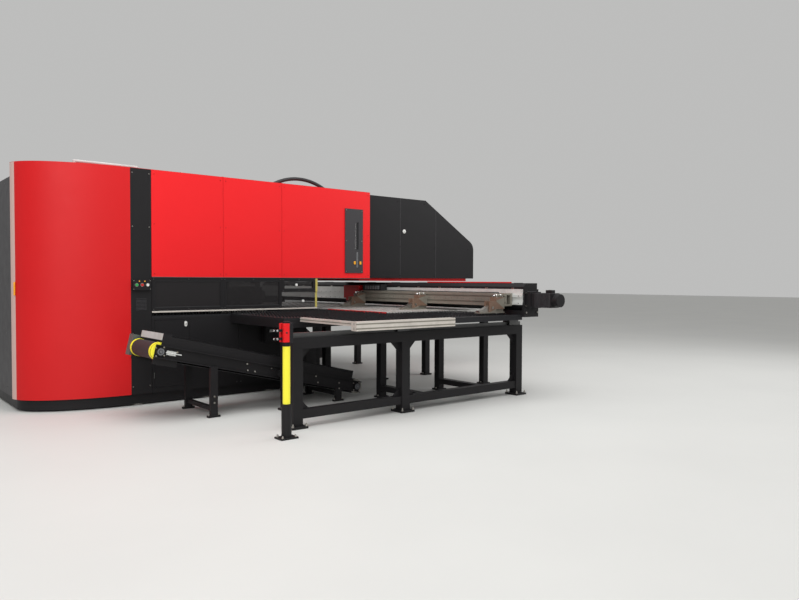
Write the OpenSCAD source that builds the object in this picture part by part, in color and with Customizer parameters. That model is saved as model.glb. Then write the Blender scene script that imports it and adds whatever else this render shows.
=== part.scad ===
// Turret punch press with a two-axis gantry carriage.
// X runs along the arm from the rear to the open nose, Y away from the operator side, Z up.
// The origin lies on the floor under the punching centre. Millimetres.

/* [Main frame] */
// Height of the hood above the floor
hood_top = 2450; // [2300:10:2600]
// Width of the machine body across the arm
body_w = 1500; // [1480:10:1560]
// Thickness of the sheet metal covers
sheet_t = 3; // [2:0.5:4]
// Depth of the turned edge of a cover panel
flange_d = 40; // [30:1:50]
// Rear face of the throat
throat_x = -1600; // [-1650:5:-1590]
// Width of the C frame across its side plates
frame_w = 700; // [680:10:760]
// Thickness of a C frame side plate
plate_t = 60; // [40:5:80]
// Thickness of the ribs that carry the covers
rib_t = 20; // [12:1:30]
// Top of the C frame's upper arm
arm_top = 2280; // [2200:10:2300]
// Underside of the C frame's upper arm
arm_low = 1480; // [1460:5:1500]
// Top of the C frame's lower arm
bed_top = 780; // [760:5:785]
// Front end of the lower arm
bed_end = 700; // [680:10:760]
// Radius in the corners of the throat
throat_r = 120; // [80:10:160]
// Height of the plinth's top above the floor
plinth_h = 120; // [100:5:140]
// Height of a levelling pad
pad_h = 15; // [10:1:20]
// Diameter of a levelling pad
pad_d = 150; // [120:10:180]
// Distance from the plinth's edge to a levelling pad
pad_in = 100; // [90:5:120]
// Length of the C frame behind the control strip
frame_back = 500; // [460:10:520]
// Thickness of the C frame's cross plates
web_t = 40; // [30:5:50]
// Length of the slope at the lower arm's front
bed_slope = 260; // [200:10:300]
// Height of the lower arm's front face
bed_nose = 560; // [500:10:600]
// Distance from the upper arm's tip to the nose cover's front
arm_gap = 250; // [200:10:300]
// Height of the upper arm's tip
arm_tip = 140; // [100:10:200]
// Fall of the upper arm's top towards its tip
arm_drop = 180; // [140:10:220]
// Length of that fall behind the front hood edge
arm_slope = 270; // [200:10:320]
// Distance from a cover's edge to the rib behind it
rib_inset = 60; // [40:5:80]

/* [Hood] */
// Rear edge of the red hood panels
hood_x0 = -1585; // [-1588:1:-1580]
// Seam between the rear and the middle hood panel
seam_a = -784; // [-850:5:-720]
// Seam between the middle and the front hood panel
seam_b = -40; // [-60:5:-10]
// Front edge of the red hood panels
hood_x1 = 1268; // [1240:5:1300]
// Lower edge of the hood panels
hood_z0 = 1330; // [1320:5:1340]
// Gap between neighbouring panels
seam_gap = 4; // [2:1:6]
// Width of the gauge panel
gauge_w = 277; // [240:5:290]
// Left edge of the gauge panel
gauge_x = 870; // [850:5:900]
// Lower edge of the gauge panel
gauge_z = 1400; // [1380:5:1450]
// Height of the gauge panel
gauge_h = 817; // [780:5:840]
// Thickness of the gauge panel
gauge_t = 12; // [8:1:16]
// Width of the slot in the gauge panel
slot_w = 36; // [25:1:50]
// Height of the slot in the gauge panel
slot_h = 345; // [300:5:380]
// Distance from the gauge panel's top to its slot
slot_drop = 170; // [140:5:200]

/* [Rear covers] */
// Length of the curved corner cover along the arm
corner_a = 995; // [960:5:1000]
// Depth of the curved corner cover across the arm
corner_b = 500; // [460:5:540]
// Width of the black control strip
strip_w = 216; // [200:2:220]
// Height of the rear cabinet
cabinet_top = 2330; // [2250:10:2400]
// Rear face of the rear cabinet, short of the corner cover's end
cabinet_back = 20; // [10:5:40]
// Height of the seam across the rear cabinet
cabinet_seam = 1300; // [1200:10:1400]
// Pitch of the ventilation slots
louvre_pitch = 46; // [36:2:60]
// Number of ventilation slots in a field
louvre_count = 8; // [4:1:9]
// Width of a ventilation slot
louvre_w = 300; // [240:10:340]
// Height of the roof handrail
handrail_h = 70; // [50:5:110]
// Length of the roof handrail
handrail_l = 630; // [560:10:700]

/* [Nose] */
// Front face of the nose
nose_x = 3400; // [3300:10:3450]
// Half width of the nose cover
nose_hw = 550; // [530:5:600]
// Lower edge of the nose cover
nose_z0 = 1340; // [1335:1:1350]
// Start of the slope at the nose's top
nose_slope_x = 2420; // [2350:10:2500]
// Angle of the nose's slope
nose_slope = 31.4; // [28:0.1:34]
// Radius where the slope turns into the front
nose_r = 150; // [100:10:200]
// Thickness of the red plate under the nose
skid_t = 40; // [30:1:40]

/* [Turrets] */
// Distance from the punching centre to the turret axis, and radius of the outer tool track
track_r = 550; // [540:1:555]
// Radius of the inner tool track
inner_track_r = 440; // [430:1:445]
// Number of stations in the outer track
outer_count = 24; // [16:1:26]
// Number of stations in the inner track
inner_count = 20; // [12:1:20]
// Radius of the turret discs
turret_r = 610; // [606:1:615]
// Radius of a tool bore
tool_r = 32; // [24:1:34]
// Radius of the turret's centre bore
hub_bore_r = 75; // [60:1:90]
// Wall of the boss round the centre bore
hub_wall = 60; // [45:5:70]
// Radius of the holes that lighten a disc
light_r = 60; // [40:5:70]
// Thickness of the upper turret disc
upper_t = 110; // [90:5:120]
// Underside of the upper turret disc
upper_z = 1060; // [1040:5:1080]
// Thickness of the lower turret disc
lower_t = 105; // [95:1:110]
// Underside of the lower turret disc
lower_z = 815; // [805:1:820]
// Diameter of the ram
ram_d = 90; // [70:2:110]
// Stroke of the ram
ram_stroke = 37; // [30:1:40]
// Length of the ram
ram_l = 380; // [330:10:420]
// Height of the ram's striking head
ram_head = 40; // [30:2:50]
// Width of the ram's housing along the arm
ram_box = 280; // [240:10:320]
// Height of the ram's housing above the arm's underside
ram_box_h = 380; // [340:10:420]
// Drop of the ram's housing below the arm's underside
ram_drop = 60; // [40:5:80]
// Height of a punch holder above the disc
punch_head = 50; // [40:2:60]

/* [Tables] */
// Height of the sheet's pass line
pass_z = 950; // [940:1:960]
// Thickness of the table plates
table_t = 20; // [15:1:25]
// Half width of the fixed table
table_hw = 1940; // [1900:10:1960]
// Rear edge of the fixed table beside the body
table_x0 = -700; // [-720:5:-660]
// Seam between the brush table and the bright ball table
table_x1 = 600; // [580:5:640]
// Front edge of the ball table
table_x2 = 2250; // [2150:10:2300]
// Size of the square frame tubes
tube = 80; // [70:5:90]
// Thickness of the foot plates
foot_t = 20; // [15:1:25]
// Front face of the table's middle legs
mid_leg_x = 1400; // [1300:10:1500]
// Distance from the table seam to the work chute flap
flap_edge = 120; // [100:5:160]
// Length of the work chute flap
flap_l = 400; // [340:10:440]
// Width of the work chute flap
flap_w = 460; // [400:10:480]
// Clearance round the work chute flap
flap_gap = 3; // [2:0.5:5]

/* [Carriage] */
// Height of the guideway beam's top
guide_z = 800; // [780:5:810]
// Distance from a side table's inner edge to the guideway's middle
guide_in = 710; // [680:5:740]
// Rear face of the guideway's middle leg
guide_mid = 160; // [100:10:240]
// Size of the guideway beam
guide_w = 100; // [80:5:110]
// Rear end of the guideways
guide_x0 = -1080; // [-1120:10:-1050]
// Front end of the guideways
guide_x1 = 1960; // [1920:10:2000]
// Width of a linear rail
rail_w = 34; // [28:1:40]
// Height of a linear rail
rail_h = 40; // [30:1:45]
// Clearance between a rail and its block
rail_gap = 0.3; // [0.2:0.1:0.5]
// Front face of the carriage beam at home
beam_x = 1720; // [1700:5:1740]
// Depth of the carriage beam
beam_d = 240; // [200:5:260]
// Underside of the carriage beam
beam_z0 = 975; // [970:1:985]
// Top of the carriage beam's silver band
beam_z1 = 1213; // [1205:1:1220]
// Overhang of the carriage beam past the side tables
beam_over = 10; // [5:1:20]
// Slope at the beam's lower front edge
beam_slope = 50; // [40:5:60]
// Wall of the carriage beam
beam_wall = 12; // [8:1:16]
// Top of the carriage cover
cover_top = 1280; // [1260:5:1300]
// Fall at the carriage cover's front edge
cover_fall = 40; // [30:2:50]
// Distance from the carriage beam back to the rear bearing blocks
block_back = 1620; // [1560:10:1680]
// Length of a bearing block
block_l = 150; // [130:5:170]
// Width of the cross axis motor
motor_w = 150; // [130:5:170]
// Length of the cross axis motor
motor_l = 400; // [360:10:440]
// Rear edge of the side tables
side_x0 = -545; // [-580:5:-520]
// Front edge of the side tables
side_x1 = 1600; // [1560:5:1640]
// Gap between the fixed table and the side tables
side_gap = 40; // [30:5:50]
// Width of the side tables
side_w = 960; // [920:10:1000]
// Width of the silver edge profile
edge_w = 80; // [60:2:90]
// Height of the silver edge profile
edge_h = 84; // [70:2:90]
// Drop of the edge profile below the pass line
edge_drop = 20; // [15:1:30]
// Front end of the bright edge profile
edge_x1 = 690; // [600:10:780]

/* [Cross slide] */
// Height of the cross slide bar
bar_h = 142; // [130:2:150]
// Underside of the cross slide bar
bar_z = 1025; // [1020:1:1035]
// Depth of the cross slide bar
bar_d = 120; // [100:5:130]
// Distance from the beam's near end to the cross slide bar
bar_inset = 140; // [120:10:200]
// Length of the cross slide bar
bar_l = 2700; // [2600:10:2720]
// Width of a workholder
holder_w = 90; // [80:2:110]
// Reach of a workholder in front of the bar
holder_reach = 380; // [340:5:385]
// Length of a workholder's housing
housing_l = 140; // [120:5:160]
// Length of a workholder's cheeks
cheek_l = 90; // [80:5:100]
// Thickness of a workholder's lower jaw
jaw_t = 12; // [8:1:14]
// Width of the moving jaw
jaw_w = 50; // [40:1:60]
// Radius of the jaw's pivot pin
jaw_pin_r = 10; // [8:0.5:12]
// Length of the valve box
valve_l = 410; // [350:10:450]
// Length of the red end block
end_l = 380; // [340:5:400]

/* [Conveyor] */
// Length between the conveyor's drums
conv_l = 2250; // [2150:10:2300]
// Slope of the conveyor
conv_slope = 13.4; // [12:0.1:14.5]
// Width of the belt
belt_w = 530; // [480:10:550]
// Thickness of the belt
belt_t = 5; // [4:0.5:8]
// Radius of the drums
drum_r = 75; // [65:1:80]
// Head drum's place along the arm
head_x = -1892; // [-1920:1:-1860]
// Middle of the conveyor across the arm
conv_y = -1500; // [-1520:5:-1480]
// Height of the head drum's shaft
head_z = 655; // [640:5:670]
// Radius of the drum shafts
conv_shaft_r = 15; // [12:1:18]
// Height of the conveyor's side plates
conv_h = 120; // [105:5:135]
// Thickness of the conveyor's side plates
conv_plate = 8; // [6:1:10]
// Length of the side plates past the drum shafts
conv_over = 45; // [35:5:60]
// Height of the guide plates above the side plates
conv_guide = 100; // [80:5:120]
// Depth of the side plates' flanges
conv_flange = 38; // [32:1:45]
// Width of the gearbox
gear_w = 120; // [100:5:140]

/* [Controls and guards] */
// Radius of a push button
button_r = 14; // [10:1:16]
// Distance between the push buttons
button_pitch = 56; // [45:1:60]
// Height of the push buttons
button_z = 1250; // [1200:5:1300]
// Travel of a push button
button_travel = 4; // [2:0.5:5]
// Depth of the button box
button_box_t = 26; // [22:1:32]
// Half height of the button box
button_box_h = 55; // [45:1:65]
// Thickness of the guard frames
guard_t = 30; // [25:1:40]
// Lower edge of the guards beside the throat
guard_z0 = 975; // [970:1:990]
// Lower edge of the guards that the workholders pass under
guard_z1 = 1165; // [1150:1:1180]
// Front end of the guards
guard_x1 = 460; // [430:5:470]
// Width of a guard frame's bars
guard_bar = 36; // [25:1:45]
// Thickness of a guard window
window_t = 6; // [4:0.5:8]
// Width of the service door
door_w = 380; // [340:5:385]
// Height of the sensor post
post_h = 960; // [900:10:1000]
// Radius of the sensor post
post_r = 30; // [24:1:34]
// Length of the sensor post's foot
post_foot = 160; // [140:5:180]
// Height of the socket that holds the sensor post
socket_h = 280; // [240:10:320]
// Radius of the roof hose
hose_r = 22; // [18:1:28]
// Rear end of the roof hose
hose_x0 = 150; // [100:10:200]
// Span of the roof hose
hose_span = 900; // [800:10:1000]
// Rise of the roof hose
hose_rise = 140; // [120:5:160]
// Height of a hose gland
gland_h = 60; // [50:5:80]
// Radius of the roof handrail's tube
handrail_r = 15; // [12:1:18]

/* [Hidden] */
hw = body_w / 2;
rail_side = frame_w / 2;
rib_y = hw - flange_d;
roof_z = hood_top - sheet_t;
turret_x = -track_r;
upper_top = upper_z + upper_t;
lower_top = lower_z + lower_t;
table_z = pass_z - table_t;
brush_z = pass_z - 25;
brush_low = brush_z - table_t;
inner_y = rail_side - plate_t;
strip_x0 = hood_x0 - strip_w;
rear_x = strip_x0 - corner_a;
frame_x0 = strip_x0 - frame_back;
arm_end = nose_x - arm_gap;
side_y0 = table_hw + side_gap;
side_y1 = side_y0 + side_w;
guide_y = side_y0 + guide_in;
beam_hl = side_y1 + beam_over;
bar_y0 = bar_inset - beam_hl;
cabinet_x = rear_x + cabinet_back;
cabinet_y = -hw + corner_b;
beam_x1 = beam_x + beam_d;
rail_top = guide_z + rail_h;
bar_x1 = beam_x - 20.3;
bar_x0 = bar_x1 - bar_d;
bar_y1 = bar_y0 + bar_l;
holder_x = bar_x0 - holder_reach;
holder_at = [bar_y0 + 50, bar_y0 + bar_l / 2 - 20, bar_y1 - 90];
button_x = strip_x0 + strip_w / 2;
door_x = hood_x0 + 25;
conv_side = belt_w / 2 + 10;
tie_z = head_z - (table_x0 + tube / 2 - head_x) * tan(conv_slope);
low_seam = turret_x - 50;
low_end = bed_end - 400;

// A box between two corners
module block(x0, x1, y0, y1, z0, z1) {
  translate([x0, y0, z0]) cube([x1 - x0, y1 - y0, z1 - z0]);
}

// The children and their mirror image across the arm
module both_sides() {
  children();
  mirror([0, 1, 0]) children();
}

// A side view, drawn in X and Z, pulled out across the arm
module side_plate(y0, t) {
  translate([0, y0 + t, 0]) rotate([90, 0, 0]) linear_extrude(t) children();
}

// A pin or a bore along Y
module pin_y(x, y0, y1, z, r) {
  translate([x, y0, z]) rotate([-90, 0, 0]) cylinder(r = r, h = y1 - y0, $fn = 48);
}

// A tube along X
module pin_x(x0, x1, y, z, r) {
  translate([x0, y, z]) rotate([0, 90, 0]) cylinder(r = r, h = x1 - x0, $fn = 48);
}

// A cover panel on the operator side, with its edges turned inwards
module tray(x0, x1, z0, z1) {
  difference() {
    block(x0, x1, -hw, -hw + flange_d, z0, z1);
    block(x0 + sheet_t, x1 - sheet_t, -hw + sheet_t, -hw + flange_d + 1, z0 + sheet_t, z1 - sheet_t);
  }
}

// A quarter ellipse with its centre at the inner corner
module quarter_ellipse(a, b) {
  intersection() {
    scale([a / b, 1]) circle(r = b, $fn = 96);
    translate([-a, -b]) square([a, b]);
  }
}

// The corner cover's plan, drawn in by d
module corner_plan(d) {
  translate([strip_x0, cabinet_y]) quarter_ellipse(corner_a - d, corner_b - d);
}

module base_plinth() {
  x0 = cabinet_x + cabinet_back;
  color("dimgray") translate([0, 0, pad_h]) linear_extrude(plinth_h - pad_h) union() {
    translate([x0, cabinet_y]) square([bed_end - x0, rib_y - cabinet_y]);
    translate([strip_x0, -rib_y]) square([bed_end - strip_x0, rib_y * 2]);
    corner_plan(flange_d);
  }
}

module levelling_pads() {
  x0 = strip_x0 + pad_in;
  step = (bed_end - pad_in - x0) / 3;
  color("gray") {
    both_sides() for (i = [0 : 3])
      translate([x0 + i * step, rib_y - pad_in, 0]) cylinder(d = pad_d, h = pad_h, $fn = 48);
    translate([cabinet_x + pad_in * 2, rib_y - pad_in, 0]) cylinder(d = pad_d, h = pad_h, $fn = 48);
    // The pad straight under the punching centre
    cylinder(d = pad_d * 2, h = pad_h, $fn = 64);
  }
}

// The fillet between a face at x and a face at z, opening towards +X
module throat_fillet(z, up) {
  difference() {
    translate([throat_x, up > 0 ? z : z - throat_r]) square(throat_r);
    translate([throat_x + throat_r, z + up * throat_r]) circle(r = throat_r, $fn = 64);
  }
}

module c_profile() {
  polygon([[frame_x0, plinth_h], [bed_end, plinth_h], [bed_end, bed_nose], [bed_end - bed_slope, bed_top],
    [throat_x, bed_top], [throat_x, arm_low], [arm_end, arm_low], [arm_end, arm_low + arm_tip],
    [hood_x1, arm_top - arm_drop], [hood_x1 - arm_slope, arm_top], [frame_x0, arm_top]]);
  throat_fillet(bed_top, 1);
  throat_fillet(arm_low, -1);
}

module c_frame() {
  inner = inner_y;
  half = web_t / 2;
  hood_ribs = [hood_x0 + rib_inset, seam_a, seam_b, hood_x1 - rib_inset];
  color("dimgray") union() {
    both_sides() side_plate(inner, plate_t) c_profile();
    block(throat_x - web_t, throat_x, -inner, inner, bed_top - half, arm_low + half);
    block(frame_x0, frame_x0 + web_t, -inner, inner, plinth_h, arm_top);
    block(throat_x - web_t, bed_end - bed_slope, -inner, inner, bed_top - web_t, bed_top);
    block(throat_x - web_t, -ram_box / 2, -inner, inner, arm_low, arm_low + web_t);
    block(ram_box / 2, arm_end, -inner, inner, arm_low, arm_low + web_t);
    block(frame_x0 + half, hood_x1 - arm_slope, -inner, inner, arm_top - web_t, arm_top);
    block(bed_end - web_t, bed_end, -inner, inner, plinth_h, bed_nose);
    for (x = [frame_x0 + rib_inset, throat_x - rib_inset])
      block(x - rib_t / 2, x + rib_t / 2, -inner, hw - sheet_t, arm_top - 1, cabinet_top - sheet_t);
    for (x = hood_ribs) block(x - rib_t / 2, x + rib_t / 2, -rib_y, rib_y, arm_top, roof_z);
    both_sides() {
      for (x = hood_ribs) block(x - rib_t / 2, x + rib_t / 2, inner, rib_y, arm_low + half, arm_top + 1);
      for (x = [hood_x0 + rib_inset, low_seam, low_end - rib_t])
        block(x - rib_t / 2, x + rib_t / 2, inner, rib_y, plinth_h, bed_top - half);
    }
  }
}

module rear_corner_cover() {
  color("red") translate([0, 0, plinth_h]) linear_extrude(roof_z - plinth_h) difference() {
    corner_plan(0);
    corner_plan(sheet_t);
  }
}

// A field of slanted ventilation slots in a wall that faces +Y
module louvres(x, y, z, w) {
  for (i = [0 : louvre_count - 1])
    translate([x, y, z + i * louvre_pitch]) rotate([-35, 0, 0])
      cube([w, web_t, seam_gap * 2.5], center = true);
}

module rear_cabinet() {
  color("#35363a") difference() {
    block(cabinet_x, hood_x0 - seam_gap, cabinet_y + 1, hw, plinth_h, cabinet_top);
    block(cabinet_x + sheet_t, hood_x0 - seam_gap - sheet_t, cabinet_y - 10, hw - sheet_t,
      plinth_h - 1, cabinet_top - sheet_t);
    block(throat_x - web_t - 10, hood_x0, cabinet_y - 10, rib_y, plinth_h - 1, arm_top + 1);
    block(cabinet_x - 1, hood_x0, hw - 1, hw + 1, cabinet_seam, cabinet_seam + seam_gap);
    block(cabinet_x - 1, cabinet_x + 1, cabinet_y, hw, cabinet_seam, cabinet_seam + seam_gap);
    for (share = [0.22, 0.68], z = [plinth_h + 280, cabinet_seam + 450])
      louvres(cabinet_x + (hood_x0 - cabinet_x) * share, hw, z, louvre_w);
  }
}

module control_strip() {
  color("#1c1c1e") difference() {
    tray(strip_x0, hood_x0 - seam_gap, plinth_h, roof_z);
    for (i = [-1 : 1]) pin_y(button_x + i * button_pitch, -hw - 1, -hw + 5, button_z, button_r + 2);
  }
}

module button_box() {
  depth = button_box_t;
  color("#242427") difference() {
    block(strip_x0 + 12, hood_x0 - 16, -hw - depth, -hw, button_z - button_box_h, button_z + button_box_h);
    for (i = [-1 : 1]) {
      pin_y(button_x + i * button_pitch, -hw - depth - 1, -hw + 1, button_z, stem_r + 0.05);
      pin_y(button_x + i * button_pitch, -hw - depth - 1, -hw - depth + 10, button_z, button_r + 0.3);
    }
  }
}

stem_r = 7.95;

// A push button: a cap on a stem that slides in the button box
module push_button(i) {
  x = button_x + i * button_pitch;
  face = -hw - button_box_t;
  pin_y(x, face - 8, face + 5.5, button_z, button_r);
  pin_y(x, face, -hw - 6, button_z, stem_r);
}

module start_button() { color("green") push_button(-1); }
module stop_button() { color("red") push_button(0); }
module retract_button() { color("white") push_button(1); }

module hood_panel_rear() { color("red") tray(hood_x0, seam_a - seam_gap / 2, hood_z0, roof_z); }
module hood_panel_middle() {
  color("red") tray(seam_a + seam_gap / 2, seam_b - seam_gap / 2, hood_z0, roof_z);
}
module hood_panel_front() { color("red") tray(seam_b + seam_gap / 2, hood_x1, hood_z0, roof_z); }
module hood_panels_far() {
  color("red") mirror([0, 1, 0]) {
    tray(hood_x0, seam_a - seam_gap / 2, hood_z0, roof_z);
    tray(seam_a + seam_gap / 2, seam_b - seam_gap / 2, hood_z0, roof_z);
    tray(seam_b + seam_gap / 2, hood_x1, hood_z0, roof_z);
  }
}

// A tube rail that stands on the corner cover's roof
module handrail() {
  y = cabinet_y - 90;
  z = hood_top + handrail_h;
  x1 = strip_x0 + strip_w - 10;
  x = [x1 - handrail_l, x1];
  pin_x(x[0], x[1], y, z, handrail_r);
  for (xi = x) translate([xi, y, 0]) {
    translate([0, 0, hood_top - 1]) cylinder(r = handrail_r, h = z - hood_top + 1, $fn = 48);
    translate([0, 0, z]) sphere(r = handrail_r, $fn = 48);
    translate([0, 0, hood_top - 1]) cylinder(r = handrail_r * 2, h = 9, $fn = 48);
  }
}

// The roof over the hood and the corner cover, with turned-down edges at the rear
module hood_roof() {
  color("red") union() {
    translate([0, 0, roof_z]) linear_extrude(sheet_t) union() {
      translate([strip_x0, -hw]) square([hood_x1 - strip_x0, body_w]);
      corner_plan(0);
    }
    block(strip_x0, strip_x0 + sheet_t, cabinet_y + 2, hw, cabinet_top + 1, roof_z);
    block(rear_x + 5, strip_x0, cabinet_y - sheet_t - 1, cabinet_y - 1, cabinet_top + 1, roof_z);
    block(strip_x0, hood_x0 - seam_gap, hw - sheet_t, hw, cabinet_top + 1, roof_z);
    handrail();
  }
}

// The nose's side view, drawn in by d, starting at x0
function nose_points(d, x0) =
  let (line = nose_slope_x * sin(nose_slope) + hood_top * cos(nose_slope),
       xc = nose_x - nose_r,
       zc = (line - nose_r - xc * sin(nose_slope)) / cos(nose_slope),
       top = hood_top - d)
  concat([[x0, nose_z0 + d], [nose_x - d, nose_z0 + d]],
    [for (i = [0 : 8]) let (a = (90 - nose_slope) * i / 8)
      [xc + (nose_r - d) * cos(a), zc + (nose_r - d) * sin(a)]],
    [[(line - d - top * cos(nose_slope)) / sin(nose_slope), top], [x0, top]]);

module nose_cover() {
  color("#1d1d1f") union() {
    difference() {
      side_plate(-nose_hw, nose_hw * 2) polygon(nose_points(0, hood_x1));
      side_plate(-nose_hw + sheet_t, (nose_hw - sheet_t) * 2) polygon(nose_points(sheet_t, hood_x1 - 1));
    }
    difference() {
      block(hood_x1 - sheet_t, hood_x1, -rib_y + 0.3, rib_y - 0.3, hood_z0, roof_z);
      block(hood_x1 - 50, hood_x1 + 1, -nose_hw + sheet_t, nose_hw - sheet_t,
        nose_z0 + sheet_t, hood_top);
    }
  }
}

// A shallow red pan screwed under the nose
module nose_base_plate() {
  x1 = nose_x - 120;
  y = nose_hw - 40;
  color("red") difference() {
    block(hood_x1, x1, -y, y, nose_z0 - skid_t, nose_z0);
    block(hood_x1 + 30, x1 - 30, -y + 30, y - 30, nose_z0 - skid_t + sheet_t, nose_z0 + 1);
  }
}

module gauge_panel() {
  slot_z = gauge_z + gauge_h - slot_h - slot_drop;
  slot_x = gauge_x + gauge_w * 0.62;
  color("#3a3b40") difference() {
    block(gauge_x, gauge_x + gauge_w, -hw - gauge_t, -hw, gauge_z, gauge_z + gauge_h);
    block(slot_x, slot_x + slot_w, -hw - gauge_t - 1, -hw - 2, slot_z, slot_z + slot_h);
    block(slot_x, slot_x + slot_w, -hw - gauge_t - 1, -hw - 6, gauge_z + 60, slot_z - 20);
  }
}

door_x1 = door_x + door_w;
door_z0 = plinth_h + 50;
door_z1 = brush_low - 25;
door_t = 16;
door_gap = 3;
door_axis = [door_x + 20, -hw + 8];
door_pin_r = 5;

module lower_panels() {
  color("#1c1c1e") union() {
    difference() {
      tray(hood_x0, low_seam - seam_gap / 2, plinth_h, brush_low);
      block(door_x, door_x1, -hw - 1, -hw + sheet_t + 1, door_z0, door_z1);
    }
    for (z = [door_z0 - 20, door_z1]) difference() {
      block(door_x, door_x + 40, -hw + sheet_t, -hw + 22, z, z + 20);
      translate([door_axis.x, door_axis.y, z - 1]) cylinder(r = door_pin_r + 0.05, h = 22, $fn = 32);
    }
    tray(low_seam + seam_gap / 2, low_end, plinth_h, brush_low);
    mirror([0, 1, 0]) tray(hood_x0, low_seam - seam_gap / 2, plinth_h, brush_low);
    mirror([0, 1, 0]) tray(low_seam + seam_gap / 2, low_end, plinth_h, brush_low);
  }
}

module service_door() {
  color("#1c1c1e") union() {
    difference() {
      block(door_x + door_gap, door_x1 - door_gap, -hw, -hw + door_t,
        door_z0 + door_gap, door_z1 - door_gap);
      block(door_x + 40, door_x1 - 20, -hw + sheet_t, -hw + door_t + 1, door_z0 + 20, door_z1 - 20);
    }
    translate([door_axis.x, door_axis.y, door_z0 - 12])
      cylinder(r = door_pin_r, h = door_z1 - door_z0 + 24, $fn = 32);
  }
}

module door_lock() {
  x = door_x1 - 42;
  z = door_z1 - 48;
  color("white") union() {
    for (s = [-1, 1]) pin_y(x, -hw - 6, -hw, z + s * 14, 15);
    block(x - 15, x + 15, -hw - 6, -hw, z - 14, z + 14);
    pin_y(x, -hw - 14, -hw - 6, z, 9);
  }
}

guard_panes = [[hood_x0, seam_a, guard_z0], [seam_a, seam_b, guard_z0],
  [seam_b, guard_x1 - guard_t, guard_z1]];

module guard_frame(p) {
  difference() {
    block(p[0] + 0.5, p[1] - 0.5, -hw, -hw + guard_t, p[2], hood_z0);
    block(p[0] + guard_bar, p[1] - guard_bar, -hw - 1, -hw + guard_t + 1,
      p[2] + guard_bar, hood_z0 - guard_bar);
  }
}

module guard_frames() { color("#161618") both_sides() for (p = guard_panes) guard_frame(p); }

module guard_windows() {
  color([0.2, 0.16, 0.14, 0.6]) both_sides() for (p = guard_panes)
    block(p[0] + guard_bar, p[1] - guard_bar, -hw + 8, -hw + 8 + window_t,
      p[2] + guard_bar, hood_z0 - guard_bar);
}

module guard_edge_bar() {
  color("gold") both_sides() block(guard_x1 - guard_t, guard_x1, -hw, -hw + guard_t, guard_z1, hood_z0);
}

// The children at every station of both tool tracks
module stations() {
  translate([turret_x, 0, 0]) {
    for (i = [0 : outer_count - 1]) rotate(i * 360 / outer_count) translate([track_r, 0, 0]) children();
    for (i = [0 : inner_count - 1]) rotate((i + 0.5) * 360 / inner_count)
      translate([inner_track_r, 0, 0]) children();
  }
}

module turret_disc(z, t) {
  light_at = (hub_bore_r + hub_wall + inner_track_r - tool_r) / 2;
  difference() {
    union() {
      translate([turret_x, 0, z]) cylinder(r = turret_r, h = t, $fn = 128);
      translate([turret_x, 0, z]) cylinder(r = hub_bore_r + hub_wall, h = t + 8, $fn = 96);
    }
    translate([turret_x, 0, z - 1]) cylinder(r = hub_bore_r, h = t + 10, $fn = 96);
    translate([0, 0, z - 1]) stations() cylinder(r = tool_r, h = t + 10, $fn = 32);
    for (i = [0 : 7]) translate([turret_x, 0, z - 1]) rotate(i * 45)
      translate([light_at, 0, 0]) cylinder(r = light_r, h = t + 10, $fn = 48);
  }
}

module upper_turret() { color("#77736c") turret_disc(upper_z, upper_t); }
module lower_turret() { color("#6f6b65") turret_disc(lower_z, lower_t); }

module punch_holders() {
  tip_z = pass_z + 34;
  head = punch_head;
  color("silver") stations() {
    translate([0, 0, upper_z - 20]) cylinder(r = tool_r - 0.05, h = upper_t + 20, $fn = 32);
    translate([0, 0, tip_z]) cylinder(r = tool_r * 0.6, h = upper_z - 20 - tip_z, $fn = 32);
    translate([0, 0, upper_top]) cylinder(r = tool_r + 6, h = head * 0.28, $fn = 32);
    translate([0, 0, upper_top + head * 0.28]) cylinder(r = tool_r - 10, h = head * 0.48, $fn = 32);
    translate([0, 0, upper_top + head * 0.76]) cylinder(r = tool_r - 2, h = head * 0.24, $fn = 32);
  }
}

module die_holders() {
  color("silver") stations() {
    translate([0, 0, lower_z + 10]) cylinder(r = tool_r - 0.05, h = lower_t - 10, $fn = 32);
    translate([0, 0, lower_top]) difference() {
      cylinder(r = tool_r + 8, h = pass_z - 2 - lower_top, $fn = 32);
      translate([0, 0, 12]) cylinder(r = tool_r * 0.6, h = 30, $fn = 32);
    }
  }
}

module turret_shafts() {
  color("gray") translate([turret_x, 0, 0]) {
    translate([0, 0, upper_z - 26]) cylinder(r = hub_bore_r + 35, h = 25.7, $fn = 96);
    translate([0, 0, upper_z - 1]) cylinder(r = hub_bore_r - 0.05, h = arm_low - upper_z + 1, $fn = 96);
    translate([0, 0, bed_top]) cylinder(r = hub_bore_r + 35, h = lower_z - 0.3 - bed_top, $fn = 96);
    translate([0, 0, bed_top]) cylinder(r = hub_bore_r - 0.05, h = lower_top + 8 - bed_top, $fn = 96);
  }
}

ram_z = upper_top + punch_head + ram_stroke + 0.5;

module ram() {
  color("silver") {
    translate([0, 0, ram_z]) cylinder(r = ram_d / 2 + 10, h = ram_head, $fn = 64);
    translate([0, 0, ram_z]) cylinder(r = ram_d / 2, h = ram_l, $fn = 64);
  }
}

module ram_cylinder() {
  color("#50535a") difference() {
    block(-ram_box / 2, ram_box / 2, -inner_y, inner_y, arm_low - ram_drop, arm_low + ram_box_h);
    translate([0, 0, arm_low - ram_drop - 1])
      cylinder(r = ram_d / 2 + 0.05, h = ram_z + ram_l + 20 - arm_low + ram_drop, $fn = 64);
  }
}

flap_x0 = table_x1 - flap_edge - flap_l;
flap_pin_r = 5;
flap_axis_x = flap_x0 + flap_l - table_t / 2 - flap_gap;
flap_z = brush_z - table_t / 2;

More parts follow.
